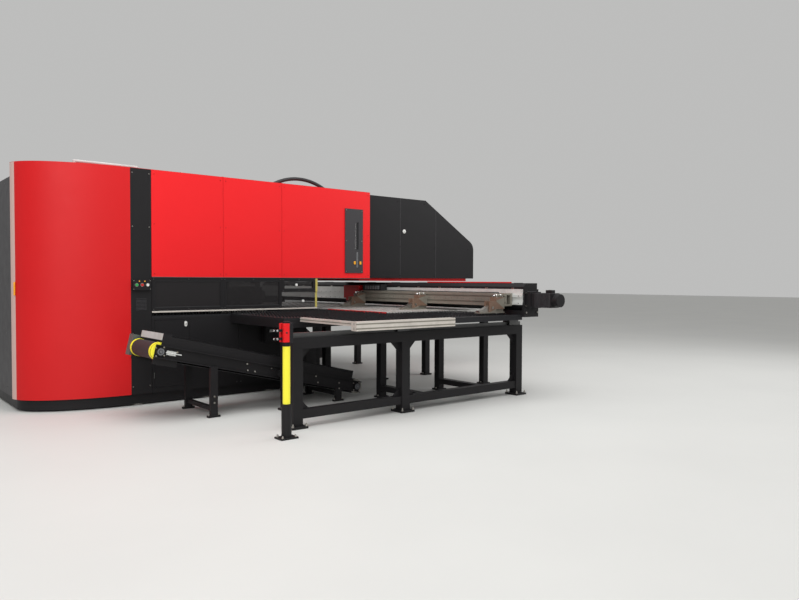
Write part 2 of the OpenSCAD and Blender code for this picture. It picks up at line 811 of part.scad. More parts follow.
module brush_table() {
  color("#202124") difference() {
    translate([0, 0, brush_low]) linear_extrude(table_t) difference() {
      union() {
        translate([hood_x0, -hw]) square([table_x1 - 10 - hood_x0, body_w]);
        translate([table_x0, -table_hw]) square([table_x1 - 10 - table_x0, table_hw * 2]);
      }
      translate([turret_x, 0]) circle(r = turret_r + 8, $fn = 128);
      translate([flap_x0, conv_y - flap_w / 2]) square([flap_l, flap_w]);
    }
    pin_y(flap_axis_x, conv_y - flap_w / 2 - 25, conv_y + flap_w / 2 + 25, flap_z, flap_pin_r + 0.05);
  }
}

module chute_flap() {
  r = table_t / 2;
  y0 = conv_y - flap_w / 2 + flap_gap;
  y1 = conv_y + flap_w / 2 - flap_gap;
  color("#202124") union() {
    block(flap_x0 + flap_gap, flap_axis_x, y0, y1, brush_low, brush_z);
    pin_y(flap_axis_x, y0, y1, flap_z, r);
    pin_y(flap_axis_x, y0 - 20, y1 + 20, flap_z, flap_pin_r);
  }
}

// A bright plate with a deep rim and cross ribs below
module ball_table() {
  rib_x = [for (i = [1 : 3]) table_x1 + (table_x2 - table_x1) * i / 4];
  color("gainsboro") union() {
    block(table_x1, table_x2, -table_hw, table_hw, table_z, pass_z);
    for (x = concat([table_x1, table_x2 - 20], rib_x))
      block(x, x + 20, -table_hw, table_hw, brush_low, table_z + 1);
    both_sides() block(table_x1, table_x2, table_hw - 20, table_hw, brush_low, table_z + 1);
  }
}

module table_apron() {
  color("red") both_sides()
    block(table_x1 - 10, table_x1, hw + 40, table_hw, brush_low, pass_z + 2);
}

module table_frame() {
  top = brush_low;
  inner = hw + 10;
  cross_x = [table_x0, table_x1 - tube, mid_leg_x, table_x2 - tube];
  color("#1b1b1d") union() {
    both_sides() {
      for (y = [inner, table_hw - tube]) block(table_x0, table_x2, y, y + tube, top - tube, top);
      for (x = cross_x) {
        block(x, x + tube, inner, table_hw, top - tube, top);
        block(x, x + tube, table_hw - tube, table_hw, foot_t, top);
        block(x - foot_t, x + tube + foot_t, table_hw - tube - foot_t, table_hw + foot_t, 0, foot_t);
      }
      for (x = [table_x1 - tube, mid_leg_x, table_x2 - tube]) {
        block(x, x + tube, inner, inner + tube, foot_t, top);
        block(x - foot_t, x + tube + foot_t, inner - 10, inner + tube + foot_t, 0, foot_t);
      }
    }
    for (x = [mid_leg_x, table_x2 - tube]) block(x, x + tube, -inner - 1, inner + 1, top - tube, top);
    // The bracket that holds the conveyor to a table leg
    block(table_x0, table_x0 + tube, tube - table_hw - 1, conv_y - conv_side - conv_plate - 0.2,
      tie_z - 30, tie_z + 30);
  }
}

module guideway_frames() {
  y0 = guide_y - guide_w / 2;
  y1 = guide_y + guide_w / 2;
  leg_x = [guide_x0, guide_mid, guide_x1 - guide_w];
  tie_x = [table_x1 - tube, mid_leg_x];
  color("#1a1a1c") both_sides() {
    block(guide_x0, guide_x1, y0, y1, guide_z - guide_w, guide_z);
    for (x = leg_x) {
      block(x, x + guide_w, y0, y1, foot_t, guide_z);
      block(x - 30, x + guide_w + 30, y0 - 40, y1 + 40, 0, foot_t);
    }
    block(guide_x0, guide_x1, y0 + 10, y1 - 10, tube, tube * 2);
    for (x = tie_x) block(x, x + tube, table_hw, y0 + 11, tube, tube * 1.75);
  }
}

module linear_rails() {
  color("silver") both_sides()
    block(guide_x0, guide_x1, guide_y - rail_w / 2, guide_y + rail_w / 2, guide_z, rail_top);
}

module bearing_blocks() {
  half = guide_w / 2;
  rear = beam_x - block_back;
  front = beam_x + 20;
  color("gray") both_sides() for (x = [[rear, rear + block_l], [front, front + block_l]]) difference() {
    block(x[0], x[1], guide_y - half, guide_y + half, guide_z + 6, brush_low);
    block(x[0] - 1, x[1] + 1, guide_y - rail_w / 2 - rail_gap, guide_y + rail_w / 2 + rail_gap,
      guide_z, rail_top + rail_gap);
  }
}

// The beam's side view: a welded box with a sloping lower front
module carriage_beam() {
  wall = beam_wall;
  color("#1a1a1c") union() {
    difference() {
      side_plate(-beam_hl, beam_hl * 2) polygon([[beam_x, beam_z0 + beam_slope],
        [beam_x + beam_slope, beam_z0],
        [beam_x1, beam_z0], [beam_x1, beam_z1], [beam_x, beam_z1]]);
      side_plate(-beam_hl - 1, beam_hl * 2 + 2) polygon([[beam_x + wall, beam_z0 + beam_slope + wall / 2],
        [beam_x + beam_slope + wall / 2, beam_z0 + wall], [beam_x1 - wall, beam_z0 + wall],
        [beam_x1 - wall, beam_z1 - wall], [beam_x + wall, beam_z1 - wall]]);
    }
    both_sides() {
      block(beam_x, beam_x1, guide_y - 90, beam_hl, brush_low, beam_z0 + 1);
      block(beam_x, beam_x1, beam_hl - wall, beam_hl + 20, brush_low, beam_z1);
    }
  }
}

// A plate on the beam's front with two raised rails
module cross_rails() {
  color("silver") union() {
    block(beam_x - 8, beam_x, -beam_hl, beam_hl, beam_z0 + 82, beam_z1);
    for (z = [bar_z + 15, bar_z + bar_h - 45])
      block(beam_x - 20, beam_x - 7, -beam_hl, beam_hl, z, z + 30);
  }
}

module carriage_cover() {
  color("#222326") difference() {
    side_plate(-beam_hl, beam_hl * 2) polygon([[beam_x, beam_z1], [beam_x1, beam_z1],
      [beam_x1, cover_top], [beam_x + cover_fall * 1.5, cover_top], [beam_x, cover_top - cover_fall]]);
    side_plate(-beam_hl + sheet_t, (beam_hl - sheet_t) * 2) polygon([[beam_x + sheet_t, beam_z1 - 1],
      [beam_x1 - sheet_t, beam_z1 - 1], [beam_x1 - sheet_t, cover_top - sheet_t],
      [beam_x + cover_fall * 1.5 + 1, cover_top - sheet_t], [beam_x + sheet_t, cover_top - cover_fall - 2]]);
  }
}

module side_tables() {
  tube_t = 30;
  rib_x = [side_x0 + 140, (side_x0 + side_x1) / 2, side_x1 - 200];
  color("#1f2023") both_sides() union() {
    block(side_x0 + edge_w / 2, side_x1, side_y0, side_y1 - edge_w, brush_low, brush_z);
    block(side_x1 - 1, beam_x, guide_y - 120, side_y1 - edge_w, brush_low, brush_z);
    block(edge_x1, beam_x, side_y1 - edge_w, side_y1, brush_low - tube_t, pass_z - edge_drop);
    block(side_x0 + edge_w / 2, side_x1, side_y0, side_y0 + tube_t, brush_low - tube_t, brush_low + 1);
    for (x = rib_x)
      block(x, x + tube_t, side_y0, guide_y - guide_w / 2 - 5, brush_low - tube_t, brush_low + 1);
  }
}

// The bright profile along the outer and the rear edge of each side table
module side_table_edges() {
  z1 = pass_z - edge_drop;
  z0 = z1 - edge_h;
  slot = edge_h / 10;
  color("silver") both_sides() difference() {
    union() {
      block(side_x0, edge_x1, side_y1 - edge_w, side_y1, z0, z1);
      block(side_x0, side_x0 + edge_w / 2, side_y0, side_y1 - 1, z1 - edge_h / 2, z1);
    }
    for (share = [0.2, 0.7]) {
      z = z0 + edge_h * share;
      y = side_y1 - edge_w * (share + 0.1);
      block(side_x0 - 1, edge_x1 + 1, side_y1 - slot, side_y1 + 1, z, z + slot);
      block(side_x0 - 1, edge_x1 + 1, y, y + slot, z0 - 1, z0 + slot);
    }
    block(side_x0 - 1, side_x0 + slot, side_y0 - 1, side_y1 - edge_w, z1 - edge_h * 0.3, z1 - edge_h * 0.2);
  }
}

module cross_motor() {
  x = beam_x + beam_d / 2;
  z = (beam_z0 + beam_z1) / 2;
  y = -beam_hl - 20;
  w = motor_w / 2;
  color("#26272b") union() {
    block(x - w * 1.2, x + w * 1.2, y - motor_l * 0.15, y, z - w * 1.2, z + w * 1.2);
    block(x - w, x + w, y - motor_l * 0.825, y - motor_l * 0.15, z - w, z + w);
    pin_y(x, y - motor_l, y - motor_l * 0.825, z, w - 5);
    block(x - w * 0.4, x + w * 0.4, y - motor_l * 0.75, y - motor_l * 0.55, z + w, z + w * 1.5);
  }
}

module cross_slide_bar() {
  color("#8b857c") difference() {
    block(bar_x0, bar_x1, bar_y0, bar_y1, bar_z, bar_z + bar_h);
    for (z = [bar_z + 30, bar_z + bar_h - 48])
      block(bar_x0 - 1, bar_x0 + 12, bar_y0 - 1, bar_y1 + 1, z, z + 18);
    block(bar_x0 + 30, bar_x1 - 30, bar_y0 - 1, bar_y1 + 1, bar_z + 20, bar_z + bar_h - 20);
  }
}

housing_x = bar_x0 - housing_l;
jaw_axis = [holder_x + holder_reach / 2, pass_z + 62];

// A workholder: lower jaw, two cheeks, pivot pin and housing
module workholder(y) {
  cheek = (holder_w - jaw_w) / 2 - 0.5;
  union() {
    block(holder_x, bar_x0, y - holder_w / 2, y + holder_w / 2, pass_z + 2, pass_z + 2 + jaw_t);
    block(housing_x, bar_x0, y - holder_w * 0.3, y + holder_w * 0.3, pass_z + 2, bar_z + 1);
    block(housing_x, bar_x0, y - holder_w / 2, y + holder_w / 2, bar_z - 30, bar_z + bar_h * 0.72);
    for (s = [-1, 1]) translate([0, y + s * (holder_w - cheek) / 2, 0])
      block(housing_x - cheek_l, housing_x + 1, -cheek / 2, cheek / 2, pass_z + 2, bar_z + bar_h * 0.42);
    pin_y(jaw_axis[0], y - holder_w / 2 + 5, y + holder_w / 2 - 5, jaw_axis[1], jaw_pin_r - 0.05);
    pin_x(housing_x + 22, bar_x0, y, bar_z + bar_h * 0.72 + 14, 18);
  }
}

module workholders() { color("#7a5a48") for (y = holder_at) workholder(y); }

// The moving upper jaw: a tapering finger with the pivot bore in its heel
module clamp_jaw(y) {
  z = pass_z + 2 + jaw_t;
  heel_x = housing_x - 18;
  color("#9a9a9c") difference() {
    side_plate(y - jaw_w / 2, jaw_w) polygon([[holder_x, z + 1], [jaw_axis[0], z + 1], [heel_x, z + 5],
      [heel_x, z + 66], [jaw_axis[0] - 30, z + 72], [holder_x + 60, z + 30], [holder_x, z + 16]]);
    pin_y(jaw_axis[0], y - jaw_w, y + jaw_w, jaw_axis[1], jaw_pin_r);
  }
}

module clamp_jaw_near() { clamp_jaw(holder_at[0]); }
module clamp_jaw_middle() { clamp_jaw(holder_at[1]); }
module clamp_jaw_far() { clamp_jaw(holder_at[2]); }

module valve_box() {
  y = bar_y1 - 60;
  color("#1f2b26") block(bar_x0 + 10, bar_x1 - 10, y - valve_l, y, bar_z + bar_h, bar_z + bar_h * 1.6);
}

module end_block() {
  color("red") union() {
    block(bar_x0 - 8, bar_x1, bar_y1, bar_y1 + end_l, bar_z + 30, bar_z + bar_h + 68);
    block(bar_x0 + 10, bar_x1 - 10, bar_y1 + 30, bar_y1 + end_l - 30, bar_z - 5, bar_z + 31);
  }
}

post_at = [guide_x0 - 220, -side_y1 - 60];

module sensor_post() {
  half = post_foot / 2;
  color("#1b1b1d") translate([post_at.x, post_at.y, 0]) union() {
    cylinder(r = post_r, h = post_h, $fn = 48);
    cylinder(r = post_r + 12, h = socket_h, $fn = 48);
    difference() {
      block(-half, half, -half * 0.75, half * 0.75, 0, 14);
      for (x = [-60, 60], y = [-42, 42]) translate([x, y, -1]) cylinder(r = 7, h = 20, $fn = 24);
    }
    for (share = [0.86, 0.93])
      block(-half * 1.4, 0, -post_r / 2, post_r / 2, post_h * share - 10, post_h * share + 10);
  }
}

module sensor_head() {
  color("red") translate([post_at.x, post_at.y, 0]) difference() {
    block(-post_r - 14, post_r + 7, -post_r - 10, post_r + 8, post_h * 0.83, post_h * 0.99);
    translate([0, 0, post_h * 0.83 - 1]) cylinder(r = post_r + 0.05, h = post_h, $fn = 48);
    block(-post_r * 2, 0, -post_r / 2 - 0.3, post_r / 2 + 0.3, post_h * 0.83 - 1, post_h);
  }
}

// The children in the conveyor's own frame: X down the slope from the head drum
module on_conveyor() {
  translate([head_x, conv_y, head_z]) rotate([0, conv_slope, 0]) children();
}

module racetrack(r) {
  circle(r = r, $fn = 64);
  translate([conv_l, 0]) circle(r = r, $fn = 64);
  translate([0, -r]) square([conv_l, r * 2]);
}

module conveyor_side() {
  difference() {
    union() {
      block(-conv_over, conv_l + conv_over, conv_side, conv_side + conv_plate, -conv_h / 2, conv_h / 2);
      for (z = [-conv_h / 2, conv_h / 2 - conv_plate])
        block(-conv_over, conv_l + conv_over, conv_side, conv_side + conv_flange, z, z + conv_plate);
    }
    for (x = [0, conv_l]) pin_y(x, conv_side - 1, conv_side + conv_plate + 1, 0, conv_shaft_r + 0.05);
  }
  block(-conv_over, conv_over * 4, conv_side, conv_side + conv_plate, -conv_h, 1 - conv_h / 2);
  block(drum_r, conv_l - drum_r, conv_side, conv_side + 4, conv_h / 2 - 1, conv_h / 2 + conv_guide);
  pin_y(conv_l, conv_side + conv_plate - 1, conv_side + conv_plate + 24, 0, conv_over - 5);
}

module conveyor_frame() {
  color("#2a2b2e") union() {
    on_conveyor() {
      both_sides() conveyor_side();
      for (share = [0.18, 0.49, 0.8]) translate([conv_l * share, 0, 0])
        block(-30, 30, -conv_side - 1, conv_side + 1, -25, 25);
      block(drum_r * 2.5, conv_l - drum_r * 2.5, -conv_side - 1, conv_side + 1, 50, 58);
      // The near bearing housing and the wiper plate over the head drum
      pin_y(0, -conv_side - conv_plate - 24, -conv_side - conv_plate + 1, 0, conv_over - 5);
      block(1, 5, -conv_side - 1, conv_side + 1, conv_h * 0.85, conv_h * 1.4 - 1);
      both_sides() block(0, drum_r + 5, conv_side, conv_side + 4, conv_h / 2 - 1, conv_h * 1.4);
    }
    for (x = [head_x + conv_l * 0.225, head_x + conv_l * 0.86]) {
      top = head_z - (x - head_x) * tan(conv_slope) - conv_h / 2;
      for (s = [-1, 1]) translate([x, conv_y + s * (conv_side + 22), 0]) {
        block(-36, 36, -18, 18, foot_t, top + 8);
        block(-60, 60, -22, 22, 0, foot_t);
      }
      block(x - 20, x + 20, conv_y - conv_side - 22, conv_y + conv_side + 22, 60, 100);
    }
  }
}

module conveyor_belt() {
  color("#1d1e20") on_conveyor() difference() {
    side_plate(-belt_w / 2, belt_w) racetrack(drum_r + belt_t + 0.3);
    side_plate(-belt_w / 2 - 1, belt_w + 2) racetrack(drum_r + 0.3);
  }
}

module conveyor_drum(x) {
  end = conv_side + conv_plate - 1.3;
  on_conveyor() {
    pin_y(x, -belt_w / 2 - 1, belt_w / 2 + 1, 0, drum_r);
    for (s = [-1, 1]) pin_y(x, s * (belt_w / 2 + 4) - 3, s * (belt_w / 2 + 4) + 3, 0, drum_r + belt_t);
    pin_y(x, -end, end, 0, conv_shaft_r);
  }
}

module head_drum() { color("gold") conveyor_drum(0); }
module tail_drum() { color("silver") conveyor_drum(conv_l); }

module gear_motor() {
  y1 = conv_side + conv_flange;
  half = gear_w / 2;
  color("#6d7278") on_conveyor() union() {
    pin_y(0, conv_side + conv_plate, y1 + 1, 0, half * 0.75);
    block(-half, half, y1, y1 + gear_w - 20, -half * 1.5, half * 1.9);
    pin_x(half - 1, half + 200, y1 + half + 2, 0, half * 0.8);
    block(half + 40, half + 120, y1 + half - 30, y1 + half + 35, half * 0.7, half * 1.3);
  }
}

// A hose over the roof between two glands
module roof_hose() {
  hose_y = -100;
  half = hose_span / 2;
  r = (half * half + hose_rise * hose_rise) / (2 * hose_rise);
  a = 2 * asin(half / r);
  color("#19191b") union() {
    translate([hose_x0 + half, hose_y, hood_top + gland_h - 20 + hose_rise - r])
      rotate([90, 0, 0]) rotate([0, 0, 90 - a / 2])
        rotate_extrude(angle = a, $fn = 128) translate([r, 0]) circle(r = hose_r, $fn = 24);
    for (x = [hose_x0, hose_x0 + hose_span])
      block(x - 45, x + 45, hose_y - 40, hose_y + 40, hood_top, hood_top + gland_h);
  }
}

base_plinth();
levelling_pads();
c_frame();
rear_corner_cover();
rear_cabinet();
control_strip();
button_box();
start_button();
stop_button();
retract_button();
hood_panel_rear();
hood_panel_middle();
hood_panel_front();
hood_panels_far();
hood_roof();
nose_cover();
nose_base_plate();
gauge_panel();
lower_panels();
service_door();
door_lock();
guard_frames();
guard_windows();
guard_edge_bar();
upper_turret();
lower_turret();
punch_holders();
die_holders();
turret_shafts();
ram();
ram_cylinder();
brush_table();
ball_table();
table_frame();
table_apron();
chute_flap();
guideway_frames();
linear_rails();
carriage_beam();
cross_rails();
carriage_cover();
bearing_blocks();
side_tables();
side_table_edges();
cross_motor();
cross_slide_bar();
workholders();
clamp_jaw_near();
clamp_jaw_middle();
clamp_jaw_far();
valve_box();
end_block();
sensor_post();
sensor_head();
conveyor_frame();
conveyor_belt();
head_drum();
tail_drum();
gear_motor();
roof_hose();
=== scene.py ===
import math
import random
import bmesh
import bpy
from mathutils import Matrix, Vector


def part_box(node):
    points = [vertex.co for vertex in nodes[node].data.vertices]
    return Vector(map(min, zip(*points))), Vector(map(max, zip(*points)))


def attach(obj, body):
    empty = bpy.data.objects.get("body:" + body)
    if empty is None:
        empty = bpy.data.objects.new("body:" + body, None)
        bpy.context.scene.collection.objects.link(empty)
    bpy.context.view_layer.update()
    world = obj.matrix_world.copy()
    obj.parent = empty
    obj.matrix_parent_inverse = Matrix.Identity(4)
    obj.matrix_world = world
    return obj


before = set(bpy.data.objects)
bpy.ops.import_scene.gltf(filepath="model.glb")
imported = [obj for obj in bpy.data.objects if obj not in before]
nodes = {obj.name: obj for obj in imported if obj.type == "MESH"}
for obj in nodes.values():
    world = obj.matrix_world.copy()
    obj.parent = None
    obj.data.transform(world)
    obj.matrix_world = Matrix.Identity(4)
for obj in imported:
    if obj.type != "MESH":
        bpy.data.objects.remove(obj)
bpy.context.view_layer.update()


def new_object(name, data):
    obj = bpy.data.objects.new(name, data)
    bpy.context.collection.objects.link(obj)
    return obj


# Camera: the photograph's place and lens, in the machine's frame

CAMERA_PLACE = Vector((-4.2, -7.94, 1.30))
CAMERA_HEADING = math.degrees(math.atan2(0.639, 0.769))
CAMERA_PITCH = -1.58
CAMERA_ROLL = 0.2
CAMERA_LENS = 31.1
CAMERA_SENSOR = 36.0


def make_camera():
    data = bpy.data.cameras.new("camera")
    data.lens = CAMERA_LENS
    data.sensor_width = CAMERA_SENSOR
    camera = new_object("camera", data)
    turn = (Matrix.Rotation(math.radians(-CAMERA_HEADING), 4, "Z")
            @ Matrix.Rotation(math.radians(90 + CAMERA_PITCH), 4, "X")
            @ Matrix.Rotation(math.radians(CAMERA_ROLL), 4, "Z"))
    camera.matrix_world = Matrix.Translation(CAMERA_PLACE) @ turn
    bpy.context.scene.camera = camera


# Shader nodes that the materials share

BLACK, WHITE = (0, 0, 0), (1, 1, 1)
MIX_FACTOR, MIX_FIRST, MIX_SECOND, MIX_RESULT = 0, 6, 7, 2
WEAR_WIDTH = 0.003
WEAR_FULL, WEAR_NONE = 0.75, 0.97


def new_material(name):
    material = bpy.data.materials.new(name)
    material.use_nodes = True
    tree = material.node_tree
    return material, tree, tree.nodes["Principled BSDF"]


def coordinates(tree):
    return tree.nodes.new("ShaderNodeTexCoord").outputs["Object"]


def axes(tree):
    """The object coordinates as separate X, Y and Z outputs."""
    split = tree.nodes.new("ShaderNodeSeparateXYZ")
    tree.links.new(coordinates(tree), split.inputs["Vector"])
    return split.outputs


def noise(tree, scale, detail=3.0, rough=0.5, stretch=None):
    node = tree.nodes.new("ShaderNodeTexNoise")
    node.inputs["Scale"].default_value = scale
    node.inputs["Detail"].default_value = detail
    node.inputs["Roughness"].default_value = rough
    source = coordinates(tree)
    if stretch:
        mapping = tree.nodes.new("ShaderNodeMapping")
        mapping.inputs["Scale"].default_value = stretch
        tree.links.new(source, mapping.inputs["Vector"])
        source = mapping.outputs["Vector"]
    tree.links.new(source, node.inputs["Vector"])
    return node.outputs["Fac"]


def ramp(tree, value, stops):
    node = tree.nodes.new("ShaderNodeValToRGB")
    band = node.color_ramp
    while len(band.elements) < len(stops):
        band.elements.new(0.5)
    for element, (place, colour) in zip(band.elements, stops):
        element.position = place
        element.color = (*colour, 1.0)
    tree.links.new(value, node.inputs["Fac"])
    return node.outputs["Color"]


def rise(tree, value, start, end):
    """Black up to start, white from end on."""
    return ramp(tree, value, [(start, BLACK), (end, WHITE)])


def scaled(tree, value, low, high, start=0.0, end=1.0):
    """Maps the range from start to end onto the range from low to high."""
    node = tree.nodes.new("ShaderNodeMapRange")
    node.inputs["From Min"].default_value = start
    node.inputs["From Max"].default_value = end
    node.inputs["To Min"].default_value = low
    node.inputs["To Max"].default_value = high
    tree.links.new(value, node.inputs["Value"])
    return node.outputs["Result"]


def mix_colour(tree, factor, first, second):
    node = tree.nodes.new("ShaderNodeMix")
    node.data_type = "RGBA"
    for index, value in ((MIX_FACTOR, factor), (MIX_FIRST, first), (MIX_SECOND, second)):
        if isinstance(value, bpy.types.NodeSocket):
            tree.links.new(value, node.inputs[index])
        else:
            node.inputs[index].default_value = (*value, 1.0)
    return node.outputs[MIX_RESULT]


def bump(tree, shader, value, strength, distance):
    node = tree.nodes.new("ShaderNodeBump")
    node.inputs["Strength"].default_value = strength
    node.inputs["Distance"].default_value = distance
    tree.links.new(value, node.inputs["Height"])
    tree.links.new(node.outputs["Normal"], shader.inputs["Normal"])


def edge_wear(tree, base, worn, amount):
    """Mixes a worn colour into the base along edges, where a rounded normal leaves the true one."""
    geometry = tree.nodes.new("ShaderNodeNewGeometry")
    rounded = tree.nodes.new("ShaderNodeBevel")
    rounded.samples = 4
    rounded.inputs["Radius"].default_value = WEAR_WIDTH
    along = tree.nodes.new("ShaderNodeVectorMath")
    along.operation = "DOT_PRODUCT"
    tree.links.new(rounded.outputs["Normal"], along.inputs[0])
    tree.links.new(geometry.outputs["Normal"], along.inputs[1])
    edge = ramp(tree, along.outputs["Value"], [(WEAR_FULL, (amount,) * 3), (WEAR_NONE, BLACK)])
    both = tree.nodes.new("ShaderNodeMath")
    both.operation = "MULTIPLY"
    tree.links.new(edge, both.inputs[0])
    tree.links.new(rise(tree, noise(tree, 60, 5), 0.42, 0.6), both.inputs[1])
    return mix_colour(tree, both.outputs[0], base, worn)


# Kinds of material

PANE_RANGE_X = (-2.0, 2.0)
SEAMS_X = (-0.784, -0.040)
PANE_ALPHA = (0.96, 0.82, 0.42)
# Width and colour of the pale pinkish band at the corner cover's rear end: partly the end trim's edge,
# partly a painted highlight where the curved cover turns away.
TRIM_AND_HIGHLIGHT_WIDTH = 0.10
TRIM_AND_HIGHLIGHT_COLOUR = (0.62, 0.42, 0.38)


def paint(name, colour, dark, speck, rough=(0.38, 0.55), grain=420, relief=0.12,
          worn=(0.3, 0.3, 0.3), gleam=0.5):
    """Textured machine paint: fine orange peel, small specks, a soft cloud of handling marks."""
    material, tree, shader = new_material(name)
    body = mix_colour(tree, scaled(tree, noise(tree, 1.6, 4, 0.55), 0.1, 0.8), colour, dark)
    specks = rise(tree, noise(tree, grain * 0.9, 2, 0.6), 0.60, 0.72)
    body = mix_colour(tree, scaled(tree, specks, 0.0, 0.35), body, speck)
    tree.links.new(edge_wear(tree, body, worn, 0.5), shader.inputs["Base Color"])
    tree.links.new(scaled(tree, noise(tree, 9, 4), *rough), shader.inputs["Roughness"])
    shader.inputs["Specular IOR Level"].default_value = gleam
    bump(tree, shader, noise(tree, grain, 2), relief, 0.0006)
    return material


def metal(name, colour, dark, rough=(0.22, 0.42), stretch=(4, 90, 90), share=1.0):
    """Machined or drawn metal: long fine lines, faint stains."""
    material, tree, shader = new_material(name)
    lines = noise(tree, 6, 4, 0.6, stretch)
    body = mix_colour(tree, lines, colour, dark)
    stains = rise(tree, noise(tree, 5, 6, 0.6), 0.45, 0.75)
    body = mix_colour(tree, scaled(tree, stains, 0.0, 0.4), body, tuple(c * 0.55 for c in dark))
    tree.links.new(body, shader.inputs["Base Color"])
    shader.inputs["Metallic"].default_value = share
    tree.links.new(scaled(tree, lines, *rough), shader.inputs["Roughness"])
    bump(tree, shader, lines, 0.08, 0.0004)
    return material


def plastic(name, colour, rough=0.35, grain=300):
    material, tree, shader = new_material(name)
    shade = tuple(c * 0.82 for c in colour)
    tree.links.new(mix_colour(tree, noise(tree, 30, 3), colour, shade), shader.inputs["Base Color"])
    uneven = scaled(tree, noise(tree, 18, 4), rough - 0.06, rough + 0.1)
    tree.links.new(uneven, shader.inputs["Roughness"])
    bump(tree, shader, noise(tree, grain, 2), 0.08, 0.0004)
    return material


def smoked(name, colour, far_colour):
    """Tinted guard window: dark at the rear and clearer pane by pane, amber on the far side."""
    material, tree, shader = new_material(name)
    place = axes(tree)
    tint = mix_colour(tree, rise(tree, place["Y"], 0.0, 0.05), colour, far_colour)
    tint = mix_colour(tree, scaled(tree, noise(tree, 7, 5), 0, 0.25), tint, (0.02, 0.02, 0.02))
    tree.links.new(tint, shader.inputs["Base Color"])
    tree.links.new(scaled(tree, noise(tree, 24, 5), 0.06, 0.2), shader.inputs["Roughness"])
    shader.inputs["Specular IOR Level"].default_value = 0.15
    first, last = PANE_RANGE_X
    stops = [(0.0, (PANE_ALPHA[0],) * 3)]
    for seam, before, after in zip(SEAMS_X, PANE_ALPHA, PANE_ALPHA[1:]):
        share = (seam - first) / (last - first)
        stops += [(share - 0.001, (before,) * 3), (share + 0.001, (after,) * 3)]
    along = scaled(tree, place["X"], 0.0, 1.0, first, last)
    tree.links.new(ramp(tree, along, stops), shader.inputs["Alpha"])
    return material


def with_trim_and_highlight_band(material):
    """Paints a pale band along the rear end of the curved corner cover: partly the metal end trim's
    edge, partly a painted highlight where the cover turns away.
    """
    tree = material.node_tree
    base = tree.nodes["Principled BSDF"].inputs["Base Color"]
    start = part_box("rear_corner_cover")[1][1] - TRIM_AND_HIGHLIGHT_WIDTH
    band = scaled(tree, axes(tree)["Y"], 0.0, 1.0, start, start + 0.002)
    tree.links.new(mix_colour(tree, band, base.links[0].from_socket, TRIM_AND_HIGHLIGHT_COLOUR), base)
    return material


# Each paint's name, colour, shade, specks and finish

RED = ((0.62, 0.006, 0.008), (0.53, 0.004, 0.006), (0.34, 0.003, 0.004))
RED_FINISH = {"rough": (0.42, 0.55), "grain": 520, "relief": 0.15, "worn": (0.5, 0.05, 0.04),
              "gleam": 0.3}
PAINTS = {
    "red": ("red_textured_paint", *RED, RED_FINISH),
    "cover_red": ("red_cover_paint", *RED, RED_FINISH),
    # A lighter copy of the same red paint for the hood panels and sensor head: painted light, because
    # the flat panels catch more light than the curved corner cover.
    "painted_lighter_red": ("red_paint_painted_lighter", (0.80, 0.009, 0.013), (0.72, 0.007, 0.010), (0.50, 0.006, 0.008),
                  {**RED_FINISH, "relief": 0.12, "worn": (0.6, 0.06, 0.05)}),
    "black": ("black_textured_paint", (0.0145, 0.0135, 0.0145), (0.010, 0.0095, 0.0105),
              (0.019, 0.018, 0.020),
              {"rough": (0.42, 0.55), "relief": 0.06, "worn": (0.07, 0.07, 0.08), "gleam": 0.2}),
    "charcoal": ("charcoal_paint", (0.044, 0.042, 0.046), (0.035, 0.033, 0.036), (0.060, 0.058, 0.064),
                 {"rough": (0.42, 0.6), "relief": 0.08, "worn": (0.2, 0.2, 0.2), "gleam": 0.3}),
    "yellow": ("yellow_paint", (0.95, 0.88, 0.045), (0.90, 0.82, 0.04), (0.80, 0.70, 0.04),
               {"rough": (0.3, 0.45), "relief": 0.1, "worn": (0.25, 0.2, 0.1)}),
    "dull_yellow": ("dull_yellow_paint", (0.50, 0.43, 0.10), (0.42, 0.35, 0.08), (0.34, 0.28, 0.07),
                    {"rough": (0.4, 0.5), "relief": 0.1, "worn": (0.25, 0.2, 0.1)}),
    "brown": ("browned_steel", (0.20, 0.12, 0.08), (0.12, 0.08, 0.06), (0.3, 0.2, 0.15),
              {"rough": (0.3, 0.5), "worn": (0.45, 0.42, 0.38)}),
    "casting": ("grey_casting_paint", (0.13, 0.135, 0.14), (0.09, 0.09, 0.1), (0.2, 0.2, 0.2),
                {"rough": (0.4, 0.6), "relief": 0.5}),
    "gearbox": ("grey_green_gearbox", (0.10, 0.125, 0.115), (0.075, 0.09, 0.085), (0.15, 0.17, 0.16),
                {"rough": (0.4, 0.55), "relief": 0.3}),
    "brush_plate": ("brush_plate", (0.014, 0.014, 0.016), (0.010, 0.010, 0.012), (0.022, 0.022, 0.024),
                    {"rough": (0.45, 0.65), "worn": (0.12, 0.12, 0.12), "gleam": 0.25}),
}

# Each metal's name, colour, shade and finish

